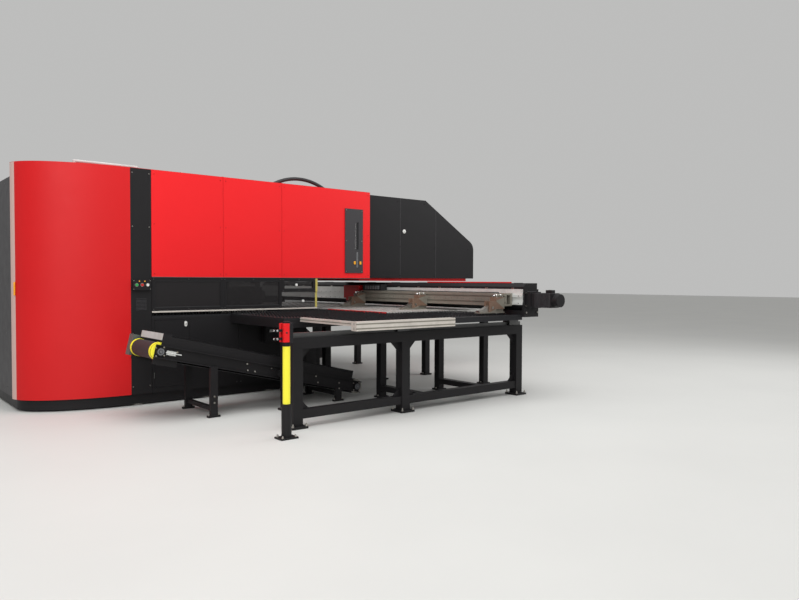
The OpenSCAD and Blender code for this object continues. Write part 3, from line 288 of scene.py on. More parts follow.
METALS = {
    "galvanised": ("galvanised_sheet", (0.56, 0.56, 0.55), (0.44, 0.44, 0.43),
                   {"rough": (0.6, 0.75), "share": 0.0}),
    "steel": ("machined_steel", (0.56, 0.53, 0.49), (0.38, 0.36, 0.33), {}),
    # The ball table's pale metal plate: its strong pale-to-dark patches are painted glints.
    "bright": ("ball_plate_with_painted_glints", (0.92, 0.91, 0.88), (0.30, 0.29, 0.27),
               {"rough": (0.3, 0.5), "stretch": (5, 1.2, 5), "share": 0.5}),
    "silver": ("anodised_profile", (0.78, 0.79, 0.77), (0.64, 0.65, 0.63),
               {"rough": (0.42, 0.56), "stretch": (60, 2, 90), "share": 0.4}),
    "silver_x": ("anodised_profile_lengthwise", (0.72, 0.67, 0.61), (0.58, 0.54, 0.49),
                 {"rough": (0.4, 0.54), "stretch": (2, 60, 90), "share": 0.4}),
    "bar": ("cross_bar_metal", (0.30, 0.28, 0.235), (0.20, 0.185, 0.155),
            {"rough": (0.46, 0.62), "stretch": (60, 2, 90), "share": 0.4}),
    "dark_steel": ("dark_rail_steel", (0.16, 0.16, 0.16), (0.10, 0.10, 0.10), {"rough": (0.4, 0.6)}),
    "chrome": ("chrome", (0.85, 0.85, 0.86), (0.7, 0.7, 0.71), {"rough": (0.06, 0.16)}),
}

# Each plastic's name, colour, roughness and grain

PLASTICS = {
    "bristle": ("bristle_nylon", (0.012, 0.012, 0.014), 0.6),
    "rubber": ("belt_rubber", (0.024, 0.024, 0.026), 0.6, 180),
    "green_plastic": ("green_cap", (0.03, 0.34, 0.08)),
    "red_plastic": ("red_cap", (0.55, 0.015, 0.015)),
    "white_plastic": ("white_cap", (0.75, 0.75, 0.72)),
    "amber_plastic": ("amber_lamp", (0.85, 0.38, 0.02), 0.2),
    "gloss_black": ("gloss_black", (0.010, 0.010, 0.012), 0.1),
}


def build_materials():
    made = {key: paint(*values[:-1], **values[-1]) for key, values in PAINTS.items()}
    made.update((key, metal(*values[:-1], **values[-1])) for key, values in METALS.items())
    made.update((key, plastic(*values)) for key, values in PLASTICS.items())
    # The red corner cover gets its pale band, partly trim edge and partly painted highlight.
    with_trim_and_highlight_band(made["cover_red"])
    made["window"] = smoked("smoked_window", (0.022, 0.020, 0.021), (0.55, 0.40, 0.18))
    return made


NODE_MATERIAL = {
    "cover_red": "rear_corner_cover",
    "red": "hood_roof nose_base_plate table_apron end_block",
    # The hood panels and sensor head take the lighter copy of the red, which is painted light.
    "painted_lighter_red": "hood_panel_rear hood_panel_middle hood_panel_front hood_panels_far sensor_head",
    "black": """control_strip button_box nose_cover lower_panels service_door guard_frames
                table_frame guideway_frames carriage_beam carriage_cover sensor_post base_plinth
                conveyor_frame cross_motor valve_box""",
    "charcoal": "rear_cabinet gauge_panel c_frame",
    "yellow": "head_drum",
    "dull_yellow": "guard_edge_bar",
    "steel": """upper_turret lower_turret punch_holders die_holders turret_shafts ram
                levelling_pads clamp_jaw_near clamp_jaw_middle clamp_jaw_far tail_drum""",
    "dark_steel": "linear_rails bearing_blocks",
    "casting": "ram_cylinder",
    "gearbox": "gear_motor",
    "brush_plate": "brush_table chute_flap side_tables",
    # The ball table takes the plate whose patches are painted glints.
    "bright": "ball_table",
    "silver": "cross_rails",
    "silver_x": "side_table_edges",
    "bar": "cross_slide_bar",
    "brown": "workholders",
    "rubber": "conveyor_belt roof_hose",
    "green_plastic": "start_button",
    "red_plastic": "stop_button",
    "white_plastic": "retract_button door_lock",
    "window": "guard_windows",
}
HANDRAIL_Z = 2.4505
HOLDER_BROWN_Z = 0.994
HOLDER_BROWN_X = 1.50


def dress_nodes():
    for key, names in NODE_MATERIAL.items():
        for name in names.split():
            mesh = nodes[name].data
            mesh.materials.clear()
            mesh.materials.append(materials[key])
    roof = nodes["hood_roof"].data
    roof.materials.append(materials["galvanised"])
    for face in roof.polygons:
        face.material_index = int(face.center.z > HANDRAIL_Z)
    holders = nodes["workholders"].data
    holders.materials.append(materials["bar"])
    for face in holders.polygons:
        face.material_index = int(face.center.z < HOLDER_BROWN_Z or face.center.x > HOLDER_BROWN_X)


# Shapes that gather into one mesh

SIDES = (-1, 1)
UP, NEAR, FAR, REAR = (0, 0, 1), (0, -1, 0), (0, 1, 0), (-1, 0, 0)


def about(middle, half):
    return middle - half, middle + half


def across(side, inner, outer):
    """The span between two distances from the middle, on its lower (-1) or higher (1) side."""
    return sorted((side * inner, side * outer))


def steps(start, pitch, count):
    return [start + i * pitch for i in range(count)]


def turns(count, shift=0.0):
    """Angles spread evenly over a full turn."""
    return [2 * math.pi * (k + shift) / count for k in range(count)]


def corners(node):
    """The lowest and highest corner of a node as two tuples."""
    low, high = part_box(node)
    return tuple(low), tuple(high)


def smooth_path(points, parts=6):
    """Points along a Catmull-Rom curve through the given ones."""
    padded = [2 * points[0] - points[1], *points, 2 * points[-1] - points[-2]]
    path = []
    for a, b, c, d in zip(padded, padded[1:], padded[2:], padded[3:]):
        for i in range(parts):
            t = i / parts
            path.append(0.5 * (2 * b + (c - a) * t + (2 * a - 5 * b + 4 * c - d) * t * t
                               + (3 * b - a - 3 * c + d) * t ** 3))
    path.append(points[-1])
    return path


class Shape:
    """Gathers simple solids, in metres in the machine's frame, into one piece."""

    def __init__(self):
        self.mesh = bmesh.new()

    def box(self, x, y, z, turn=None):
        matrix = Matrix.Translation(((x[0] + x[1]) / 2, (y[0] + y[1]) / 2, (z[0] + z[1]) / 2))
        if turn:
            matrix = matrix @ turn
        matrix = matrix @ Matrix.Diagonal((x[1] - x[0], y[1] - y[0], z[1] - z[0], 1))
        bmesh.ops.create_cube(self.mesh, size=1.0, matrix=matrix)
        return self

    def rod(self, start, end, radius, end_radius=None, sides=16):
        start, end = Vector(start), Vector(end)
        way = end - start
        matrix = Matrix.Translation((start + end) / 2) @ way.to_track_quat("Z", "Y").to_matrix().to_4x4()
        bmesh.ops.create_cone(self.mesh, cap_ends=True, segments=sides, radius1=radius,
                              radius2=radius if end_radius is None else end_radius,
                              depth=way.length, matrix=matrix)
        return self

    def stud(self, place, way, height, radius, sides=16):
        """A rod that stands on a face and looks along way."""
        return self.rod(place, Vector(place) + height * Vector(way), radius, sides=sides)

    def ball(self, place, radius, rows, sides):
        bmesh.ops.create_uvsphere(self.mesh, u_segments=sides, v_segments=rows, radius=radius,
                                  matrix=Matrix.Translation(place))

    def skin(self, rings):
        """Faces between neighbouring rings of vertices."""
        for first, second in zip(rings, rings[1:]):
            for a, b, c, d in zip(first, first[1:] + first[:1], second[1:] + second[:1], second):
                self.mesh.faces.new((a, b, c, d))

    def tube(self, points, radius, sides):
        """A round tube along a smooth curve through the points."""
        path = smooth_path([Vector(point) for point in points])
        rings = []
        normal = None
        for i, place in enumerate(path):
            way = (path[min(i + 1, len(path) - 1)] - path[max(i - 1, 0)]).normalized()
            if normal is None:
                normal = way.orthogonal().normalized()
            normal = (normal - way * normal.dot(way)).normalized()
            side = way.cross(normal)
            around = [math.cos(a) * normal + math.sin(a) * side for a in turns(sides)]
            rings.append([self.mesh.verts.new(place + radius * out) for out in around])
        self.skin(rings)
        self.mesh.faces.new(list(reversed(rings[0])))
        self.mesh.faces.new(rings[-1])

    def ring(self, place, way, outer, inner, height, sides=24):
        """A flat ring standing on a face that looks along way."""
        turn = Vector(way).normalized().to_track_quat("Z", "Y").to_matrix()
        circles = []
        for radius, lift in ((outer, 0), (outer, height), (inner, height), (inner, 0)):
            around = [Vector((radius * math.cos(a), radius * math.sin(a), lift)) for a in turns(sides)]
            circles.append([self.mesh.verts.new(Vector(place) + turn @ point) for point in around])
        self.skin(circles + circles[:1])

    def wedge(self, place, size):
        """A triangular gusset plate in the XZ plane at an inner corner, size[1] thick."""
        x, y, z = place
        verts = [self.mesh.verts.new(p) for dy in (0, size[1]) for p in
                 ((x, y + dy, z), (x + size[0], y + dy, z), (x, y + dy, z + size[2]))]
        self.mesh.faces.new(verts[:3])
        self.mesh.faces.new(verts[5:2:-1])
        for a, b in ((0, 1), (1, 2), (2, 0)):
            self.mesh.faces.new((verts[a], verts[a + 3], verts[b + 3], verts[b]))

    def screw(self, place, way, radius=0.007, height=0.003):
        """A round head with a hexagon recess, standing on a face that looks along way."""
        place, way = Vector(place), Vector(way).normalized()
        top = place + way * height
        self.rod(place, top, radius, radius * 0.86, 12)
        self.rod(top, top - way * height * 0.5, radius * 0.45, radius * 0.4, 6)

    def screw_grid(self, xs, y, zs, side, radius=0.007, height=0.003):
        """Screws in columns and rows on an upright face of the near (-1) or far (1) side."""
        for x in xs:
            for z in zs:
                self.screw((x, y, z), (0, side, 0), radius, height)

    def seam_screws(self, xs, y, z, side, pitch):
        """Screws along upright lines from z[0] to z[1] on a face."""
        count = max(2, round((z[1] - z[0]) / pitch) + 1)
        self.screw_grid(xs, y, steps(z[0], (z[1] - z[0]) / (count - 1), count), side)

    def piece(self, name, material, body="press", bevel=0.0, smooth=40.0):
        data = bpy.data.meshes.new(name)
        bmesh.ops.recalc_face_normals(self.mesh, faces=self.mesh.faces[:])
        self.mesh.to_mesh(data)
        self.mesh.free()
        data.materials.append(materials[material])
        data.shade_smooth()
        obj = new_object(name, data)
        if bevel:
            rounding = obj.modifiers.new("rounding", "BEVEL")
            rounding.width = bevel
            rounding.segments = 2
            rounding.limit_method = "ANGLE"
            rounding.angle_limit = math.radians(40)
        data.set_sharp_from_angle(angle=math.radians(smooth))
        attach(obj, body)


# Hood, nose and rear covers

HOOD_HALF = 0.75
ROOF = 2.45
COVER_RADII = (0.995, 0.5)
REFLECTOR_ANGLE = math.radians(9)
REFLECTOR_TURN = -0.33
REFLECTOR_Z = (1.145, 1.277)
NOSE_HALF = 0.55
NOSE_SLOPE = math.tan(math.radians(31.4))
NOSE_SLOPE_X = 2.42
NOSE_EYE = Vector((2.02, -NOSE_HALF, 1.99))
GAUGE_WIDTH = 0.277
SLOT_SHARE = 0.62
SLOT_LENGTH = 0.345
SLOT_DROP = 0.170
BUTTON_PITCH = 0.056
BUTTON_Z = 1.25
BOX_LAMP_Z = 1.288


def dress_hood():
    screws = Shape()
    for name in ("hood_panel_rear", "hood_panel_middle", "hood_panel_front"):
        low, high = corners(name)
        for side in SIDES:
            screws.seam_screws((low[0] + 0.03, high[0] - 0.03), -side * low[1],
                               (low[2] + 0.04, high[2] - 0.04), side, 0.52)
    screws.piece("hood_screws", "red")
    rear = corners("hood_panel_rear")[0][0]
    low, high = corners("hood_panel_front")
    trim, sill = Shape(), Shape()
    for side in SIDES:
        trim.box((rear, high[0]), across(side, 0.7502, 0.7545), (low[2] - 0.002, low[2] + 0.005))
        sill.box((rear, 0.455), across(side, HOOD_HALF, 0.7555), (0.9585, 0.9745))
    trim.piece("hood_edge_trim", "dark_steel", bevel=0.001)
    sill.piece("guard_sill_strips", "silver_x", bevel=0.001)
    bosses = Shape()
    for x in (-1.2, -0.35, 0.35, 1.15):
        for y in (-0.6, 0.6):
            bosses.stud((x, y, ROOF), UP, 0.012, 0.026, 24)
            bosses.stud((x, y, ROOF + 0.012), UP, 0.018, 0.012, 12)
    bosses.piece("roof_lifting_bosses", "steel", bevel=0.002)
    seams = Shape()
    for x in SEAMS_X:
        seams.box(about(x, 0.012), (-0.745, 0.745), (ROOF, ROOF + 0.003))
    seams.piece("roof_seam_strips", "red")


def dress_corner_cover():
    low, high = corners("rear_corner_cover")
    trim = Shape().box((low[0] + 0.0005, low[0] + 0.0195), (high[1] + 0.0001, high[1] + 0.0009),
                       (low[2], high[2]))
    trim.piece("corner_cover_edge_trim", "silver_x", bevel=0.002)
    x = high[0] - COVER_RADII[0] * math.cos(REFLECTOR_ANGLE)
    y = high[1] - COVER_RADII[1] * math.sin(REFLECTOR_ANGLE)
    lamp = Shape().box((x - 0.002, x + 0.014), about(y, 0.030), REFLECTOR_Z,
                       Matrix.Rotation(REFLECTOR_TURN, 4, "Z"))
    lamp.piece("corner_reflector", "amber_plastic", bevel=0.004)


def dress_nose():
    screws, seams = Shape(), Shape()
    for side in SIDES:
        y = side * NOSE_HALF
        screws.screw_grid((1.32, 1.95, 2.60, 3.28), y, (1.375, 1.78), side, 0.009, 0.004)
        screws.screw_grid((1.32, 1.90, 2.40), y, (2.40,), side, 0.009, 0.004)
    screws.piece("nose_screws", "black")
    eye = Shape().stud(NOSE_EYE, NEAR, 0.008, 0.028, 24)
    eye.stud(NOSE_EYE + 0.008 * Vector(NEAR), NEAR, 0.012, 0.012)
    eye.piece("nose_eye_bolt", "white_plastic", bevel=0.002)
    for x, top in ((1.95, 2.447), (2.62, ROOF - (2.62 - NOSE_SLOPE_X) * NOSE_SLOPE - 0.006)):
        for side in SIDES:
            seams.box(about(x, 0.0025), across(side, NOSE_HALF, NOSE_HALF + 0.0012), (1.345, top))
    seams.piece("nose_seam_lines", "charcoal")
    eyes = Shape()
    for x in (1.6, 2.2):
        eyes.stud((x, 0, ROOF), UP, 0.012, 0.03, 24)
        circle = [Vector((x + 0.026 * math.cos(a), 0, 2.49 + 0.026 * math.sin(a))) for a in turns(14)]
        for start, end in zip(circle, circle[1:] + circle[:1]):
            eyes.rod(start, end, 0.007, sides=10)
    eyes.piece("nose_lifting_eyes", "steel")


def dress_gauge():
    low, high = corners("gauge_panel")
    face = low[1]
    slot_x = low[0] + GAUGE_WIDTH * SLOT_SHARE
    slot_z = high[2] - SLOT_LENGTH - SLOT_DROP
    glass = Shape().box((slot_x, slot_x + 0.036), (face + 0.006, face + 0.009),
                        (slot_z, slot_z + SLOT_LENGTH))
    glass.piece("gauge_slot_glass", "gloss_black")
    ticks = Shape()
    for i, z in enumerate(steps(slot_z + 0.012, 0.0138, 24)):
        width = 0.014 if i % 4 == 0 else 0.008
        ticks.box((slot_x - 0.006 - width, slot_x - 0.006), (face - 0.0008, face), (z, z + 0.002))
    ticks.piece("gauge_ticks", "white_plastic")
    insert = Shape().box((slot_x + 0.004, slot_x + 0.032), (face + 0.002, face + 0.006),
                         (low[2] + 0.07, slot_z - 0.03))
    insert.piece("gauge_lower_insert", "casting", bevel=0.001)
    lamps = Shape()
    for x in (slot_x - 0.04, slot_x + 0.05):
        lamps.box((x, x + 0.028), (face - 0.006, face), (low[2] + 0.11, low[2] + 0.15))
    lamps.piece("gauge_lamps", "amber_plastic", bevel=0.002)
    screws = Shape()
    screws.screw_grid((low[0] + 0.016, high[0] - 0.016), face,
                  (low[2] + 0.02, (low[2] + high[2]) / 2, high[2] - 0.02), -1, 0.006)
    screws.piece("gauge_screws", "steel")


def dress_controls():
    low, high = corners("button_box")
    face = low[1]
    middle = (low[0] + high[0]) / 2
    rings, lamps, screws, vents = Shape(), Shape(), Shape(), Shape()
    for x in steps(middle - BUTTON_PITCH, BUTTON_PITCH, 3):
        rings.ring((x, face, BUTTON_Z), NEAR, 0.0185, 0.0145, 0.004)
    rings.piece("button_bezels", "steel")
    for x in about(middle, BUTTON_PITCH / 2):
        lamps.stud((x, face, BOX_LAMP_Z), NEAR, 0.006, 0.007)
    lamps.piece("button_box_lamps", "amber_plastic", bevel=0.001)
    screws.screw_grid((low[0] + 0.01, high[0] - 0.01), face, (low[2] + 0.012, high[2] - 0.012),
                      -1, 0.005, 0.002)
    low, high = corners("control_strip")
    face = low[1]
    screws.seam_screws((low[0] + 0.02, high[0] - 0.02), face, (0.2, 2.4), -1, 0.55)
    screws.piece("control_strip_screws", "steel")
    for z in steps(0.99, 0.014, 9):
        vents.box(about(middle, 0.055), (face - 0.003, face), (z, z + 0.005))
    vents.piece("control_strip_vent_bars", "charcoal", bevel=0.001)


# Tables

BRUSH_TOP = 0.925
PASS_LINE = 0.950
TUFT_PITCH = 0.036
TUFT_SIDES = 5
TURRET_X = -0.55
BALL_PITCH = (0.109, 0.108)
BALL_SHIFT = 0.027
GUIDEWAY_Y = 2.69
GUIDEWAY_TOP = 0.84
PLATE_TOP = 0.02


def tufts(name, x, y, body="press", keep=lambda px, py: True, pitch=TUFT_PITCH):
    """Rows of brush tufts, each a leaning bundle that widens a little at its tip."""
    shape = Shape()
    rng = random.Random(int(1000 * (x[0] + 3 * y[0])) & 0xFFFF)
    columns = int((x[1] - x[0]) / pitch)
    rows = int((y[1] - y[0]) / pitch)
    for i in range(columns):
        for j in range(rows):
            px = x[0] + (i + 0.5) * (x[1] - x[0]) / columns + (pitch / 4 if j % 2 else -pitch / 4)
            py = y[0] + (j + 0.5) * (y[1] - y[0]) / rows
            lean = Vector((rng.uniform(-1, 1) * 0.003, rng.uniform(-1, 1) * 0.003, 0))
            tall = PASS_LINE - BRUSH_TOP - rng.uniform(0, 0.003)
            if not keep(px, py):
                continue
            foot = Vector((px, py, BRUSH_TOP))
            rings = []
            for radius, place in ((0.0035, foot), (0.0062, foot + lean + tall * Vector(UP))):
                rings.append([shape.mesh.verts.new(
                    place + radius * Vector((math.cos(a), math.sin(a), 0))) for a in turns(TUFT_SIDES)])
            shape.skin(rings)
            shape.mesh.faces.new(rings[1])
    shape.piece(name, "bristle", body)


def outside_turret(px, py):
    return math.hypot(px - TURRET_X, py) > 0.635


def outside_flap(px, py):
    return not (0.07 < px < 0.49 and -1.74 < py < -1.26)


def dress_tables():
    tufts("brush_tufts_body", (-1.57, 0.58), (-0.735, 0.735), keep=outside_turret)
    for side, name in zip(SIDES, ("near", "far")):
        tufts("brush_tufts_" + name, (-0.69, 0.58), across(side, 0.765, 1.925), keep=outside_flap)
        tufts("side_table_tufts_" + name, (-0.50, 1.60), across(side, 1.99, 2.85), "carriage",
              pitch=0.042)
    tufts("flap_tufts", (0.09, 0.45), (-1.72, -1.28), "chute_flap")
    balls, cups = Shape(), Shape()
    for i in range(15):
        for j in range(36):
            x = 0.665 + i * BALL_PITCH[0] + (BALL_SHIFT if j % 2 else -BALL_SHIFT)
            y = (j - 17.5) * BALL_PITCH[1]
            cups.ring((x, y, PASS_LINE), UP, 0.021, 0.0135, 0.0012, 12)
            balls.ball((x, y, PASS_LINE - 0.0114), 0.0128, 5, 8)
    cups.piece("ball_cups", "steel")
    balls.piece("transfer_balls", "chrome", smooth=80)
    lines = Shape()
    for x in steps(0.875, 0.275, 5):
        lines.box(about(x, 0.0015), (-1.935, 1.935), (PASS_LINE, PASS_LINE + 0.0006))
    for y in steps(-1.2933, 0.6467, 5):
        lines.box((0.61, 2.24), about(y, 0.0015), (PASS_LINE, PASS_LINE + 0.0006))
    lines.piece("ball_table_seams", "charcoal")


def dress_frames():
    bolts, gussets, feet = Shape(), Shape(), Shape()
    for side in SIDES:
        y = side * GUIDEWAY_Y
        for x in (-1.08, 0.16, 1.86):
            for dx in (-0.018, 0.118):
                for dy in (-0.075, 0.075):
                    bolts.stud((x + dx, y + dy, PLATE_TOP), UP, 0.014, 0.011, 6)
                    bolts.stud((x + dx, y + dy, PLATE_TOP + 0.014), UP, 0.016, 0.006, 10)
        for x in steps(-1.03, 0.10, 30):
            bolts.stud((x, y, GUIDEWAY_TOP), UP, 0.0005, 0.007, 12)
        for x, way in ((-0.98, 1), (0.16, -1), (0.26, 1), (1.86, -1)):
            gussets.wedge((x, y - 0.006, 0.70), (way * 0.11, 0.012, -0.11))
            gussets.wedge((x, y - 0.006, 0.16), (way * 0.09, 0.012, 0.09))
        for x in (-0.70, 0.52, 1.40, 2.17):
            for leg in (1.90, 0.80) if x > 0 else (1.90,):
                for dx in (-0.008, 0.088):
                    feet.stud((x + dx, side * leg, PLATE_TOP), UP, 0.012, 0.009, 6)
    bolts.piece("guideway_bolts", "steel")
    gussets.piece("guideway_gussets", "black")
    feet.piece("table_foot_bolts", "steel")


# Carriage and cross slide

BEAM_END = -2.97
MOTOR_X, MOTOR_Z = 1.840, 1.094
EDGE_X = (-0.5453, -0.5450)
EDGE_SLOTS_Z = (0.867, 0.909)
HOLDERS_Y = (-2.76, -1.48, -0.20)
HOLDER_AXIS_Z = 1.1412


def dress_carriage():
    face = corners("cross_rails")[0][0]
    holes = Shape()
    for y in steps(-2.9, 0.1234, 48):
        for z in (1.055, 1.137):
            holes.stud((face, y, z), REAR, 0.0008, 0.006, 10)
    holes.piece("cross_rail_screws", "charcoal", "carriage")
    low, high = corners("carriage_cover")
    clips, ribs, tray, chain = Shape(), Shape(), Shape(), Shape()
    for y in steps(-2.8, 0.4, 15):
        clips.box((low[0] - 0.004, low[0] + 0.001), about(y, 0.02), (1.2135, 1.228))
    clips.piece("carriage_cover_clips", "steel", "carriage", bevel=0.001)
    for y in steps(-2.75, 0.55, 11):
        ribs.box((low[0] + 0.076, high[0] - 0.01), about(y, 0.004), (1.2795, 1.2835))
    ribs.piece("carriage_cover_ribs", "black", "carriage")
    strip = Shape().box((low[0] + 0.062, low[0] + 0.074), (-2.72, -1.30), (1.2802, 1.2935))
    strip.piece("carriage_red_strip", "red", "carriage", bevel=0.001)
    back = high[0]
    tray.box((back + 0.0003, back + 0.09), (-2.8, 1.2), (1.090, 1.094))
    tray.box((back + 0.086, back + 0.09), (-2.8, 1.2), (1.094, 1.125))
    for y in steps(-2.7, 0.74, 6):
        tray.wedge((back + 0.0003, y, 1.0895), (0.08, 0.006, -0.05))
    tray.piece("cable_tray", "black", "carriage")
    for y in steps(-2.70, 0.0405, 84):
        chain.box((back + 0.012, back + 0.074), about(y, 0.017), (1.0945, 1.1225))
        chain.box((back + 0.006, back + 0.080), about(y, 0.008), (1.0975, 1.1195))
    chain.piece("cable_chain", "bristle", "carriage", bevel=0.002)
    dress_beam_end()
    dress_side_tables()


def dress_beam_end():
    bolts, fins = Shape(), Shape()
    for x in (1.745, 1.935):
        for z in (0.955, 1.03, 1.17):
            bolts.stud((x, BEAM_END, z), NEAR, 0.014, 0.011, 6)
    for side in SIDES:
        for x in (0.12, 0.22, 1.76, 1.88):
            bolts.stud((x, side * 2.74, 0.87), (0, side, 0), 0.0015, 0.01, 12)
    bolts.piece("carriage_end_bolts", "steel", "carriage")
    plate = Shape().box((1.76, 1.92), (BEAM_END - 0.0025, BEAM_END), (1.06, 1.19))
    plate.piece("carriage_end_cap", "charcoal", "carriage", bevel=0.002)
    for y in steps(corners("cross_motor")[0][1] + 0.09, 0.0165, 13):
        fins.box(about(MOTOR_X, 0.079), about(y, 0.003), about(MOTOR_Z, 0.079))
    fins.piece("cross_motor_fins", "charcoal", "carriage", bevel=0.0008)
    plug = Shape().stud((MOTOR_X, -3.225, 1.205), UP, 0.0045, 0.016, 20)
    plug.piece("cross_motor_connector", "steel", "carriage")


def dress_side_tables():
    """Bolts in the silver edge profiles, and thin strips in the cross bar's colour over their slots:
    painted shade that stands for the slots' shadowed insides.
    """
    bolts, groove_shade = Shape(), Shape()
    for side in SIDES:
        # Thin strips over the slot openings and on the profile ends, in the cross bar's colour: painted
        # shade of the slots.
        groove_shade.box(EDGE_X, across(side, 1.99, 2.855), (0.905, 0.914))
        for z in EDGE_SLOTS_Z:
            for x in (-0.48, -0.1, 0.28, 0.64):
                bolts.stud((x, side * 2.932, z), (0, side, 0), 0.004, 0.005, 10)
            groove_shade.box((-0.544, 0.689), across(side, 2.9400, 2.9403), (z - 0.007, z + 0.006))
            for turn in (-0.8, 0.8):
                groove_shade.box(EDGE_X, across(side, 2.886, 2.914), about(z, 0.002),
                          Matrix.Rotation(turn, 4, "X"))
            groove_shade.box(EDGE_X, across(side, 2.931, 2.9398), about(z, 0.006))
    bolts.piece("edge_profile_bolts", "steel", "carriage")
    groove_shade.piece("edge_profile_groove_shade_strips", "bar", "carriage")


def dress_cross_slide():
    bar = corners("cross_slide_bar")[0]
    box_low, box_high = corners("valve_box")
    x = corners("workholders")[0][0]
    rear = bar[0] + 0.055
    fittings, hoses, parts = Shape(), Shape(), Shape()
    for y in HOLDERS_Y:
        fittings.stud((x + 0.262, y, HOLDER_AXIS_Z), REAR, 0.012, 0.0145, 20)
        fittings.stud((x + 0.250, y, HOLDER_AXIS_Z), REAR, 0.014, 0.008)
        for dx in (0.275, 0.345):
            fittings.ring((x + dx, y, HOLDER_AXIS_Z), (1, 0, 0), 0.0205, 0.0178, 0.008)
        elbow = (x + 0.30, y + 0.027, 1.1450)
        fittings.rod((x + 0.30, y + 0.027, 1.1275), elbow, 0.007, sides=12)
        fittings.rod(elbow, (x + 0.318, y + 0.027, 1.1495), 0.0055, sides=12)
        for side in SIDES:
            for dx in (0.27, 0.36):
                parts.screw((x + dx, y + side * 0.03, 1.1272), UP, 0.006, 0.005)
            parts.stud((x + 0.19, y + side * 0.0452, 1.012), (0, side, 0), 0.0038, 0.015, 20)
        end = box_low[1] + 0.03 if y < box_low[1] else box_high[1] - 0.03
        leave, arrive = (0.25, 0.04) if end > y else (-0.12, -0.04)
        hoses.tube([(x + 0.319, y + 0.027, 1.1497), (x + 0.35, y + 0.03, 1.1545),
                    (rear, y + 0.10, 1.1745), (rear, y + leave, 1.1735), (rear, (y + end) / 2, 1.1735),
                    (rear, end - arrive, 1.176), (rear, end, 1.186)], 0.005, 8)
    fittings.piece("clamp_cylinder_fittings", "chrome", "cross_slide", bevel=0.0008)
    parts.piece("workholder_screws", "steel", "cross_slide")
    hoses.piece("clamp_air_hoses", "rubber", "cross_slide")
    valves, scale = Shape(), Shape()
    for y in steps(box_low[1] + 0.06, 0.056, 6):
        valves.box((box_low[0] - 0.0045, box_low[0]), about(y, 0.02), (1.185, 1.235))
    valves.piece("valve_covers", "casting", "cross_slide", bevel=0.002)
    low, high = corners("end_block")
    plate = Shape().box((low[0] - 0.003, low[0]), (low[1] + 0.03, high[1] - 0.03), (1.080, 1.215))
    plate.piece("end_block_cover", "red", "cross_slide", bevel=0.002)
    for y in steps(bar[1] + 0.05, 0.1, 26):
        scale.box((bar[0] - 0.0006, bar[0]), about(y, 0.001), (1.085, 1.112))
    scale.piece("cross_bar_scale", "charcoal", "cross_slide")
    for name, y in zip(("near", "middle", "far"), HOLDERS_Y):
        teeth = Shape()
        for tooth in steps(x + 0.002, 0.009, 5):
            teeth.box((tooth, tooth + 0.005), about(y, 0.022), (0.96455, 0.9652))
        teeth.screw((x + 0.10, y, 1.0165), (-0.42, 0, 0.9), 0.008, 0.004)
        teeth.piece("clamp_teeth_" + name, "steel", "jaw_" + name)


# Turret, ram and guards

TURRET_RIM = 0.6101
UPPER_TOP = 1.170
PANES = ((-1.585, SEAMS_X[0], 0.975), (*SEAMS_X, 0.975), (SEAMS_X[1], 0.430, 1.165))
CURTAIN_Z = (0.9775, 1.1648)


def stations():
    """The middle of every tool station of both tracks."""
    for radius, count, shift in ((0.55, 24, 0.0), (0.44, 20, 0.5)):
        for angle in turns(count, shift):
            yield TURRET_X + radius * math.cos(angle), radius * math.sin(angle), angle


def rim_screws(body, angles, heights, radius):
    screws = Shape()
    for angle in angles:
        way = Vector((math.cos(angle), math.sin(angle), 0))
        for z in heights:
            screws.stud(Vector((TURRET_X, 0, z)) + TURRET_RIM * way, way, 0.002, radius, 8)
    screws.piece(body + "_rim_screws", "charcoal", body)


def dress_turrets():
    springs, keys, bands, bolts = Shape(), Shape(), Shape(), Shape()
    for x, y, angle in stations():
        for z in steps(UPPER_TOP + 0.0165, 0.0068, 3):
            springs.ring((x, y, z), UP, 0.0275, 0.0225, 0.0036, 14)
        keys.stud((x + 0.034 * math.sin(angle), y - 0.034 * math.cos(angle), UPPER_TOP + 0.0002),
                  UP, 0.0118, 0.0035, 8)
    springs.piece("punch_springs", "dark_steel", "upper_turret")
    keys.piece("punch_guide_keys", "steel", "upper_turret")
    rim_screws("upper_turret", turns(72), (1.078, 1.142), 0.006)
    rim_screws("lower_turret", turns(48, 0.5), (0.868,), 0.007)
    for z in (1.32, 1.36):
        bands.ring((0, 0, z), UP, 0.0485, 0.0452, 0.006, 32)
    bands.piece("ram_bands", "chrome", "ram")
    under = corners("ram_cylinder")[0][2]
    for x in (-0.115, 0.115):
        for y in (-0.24, -0.12, 0.12, 0.24):
            bolts.rod((x, y, under), (x, y, under - 0.014), 0.012, sides=6)
    bolts.piece("ram_housing_bolts", "steel")


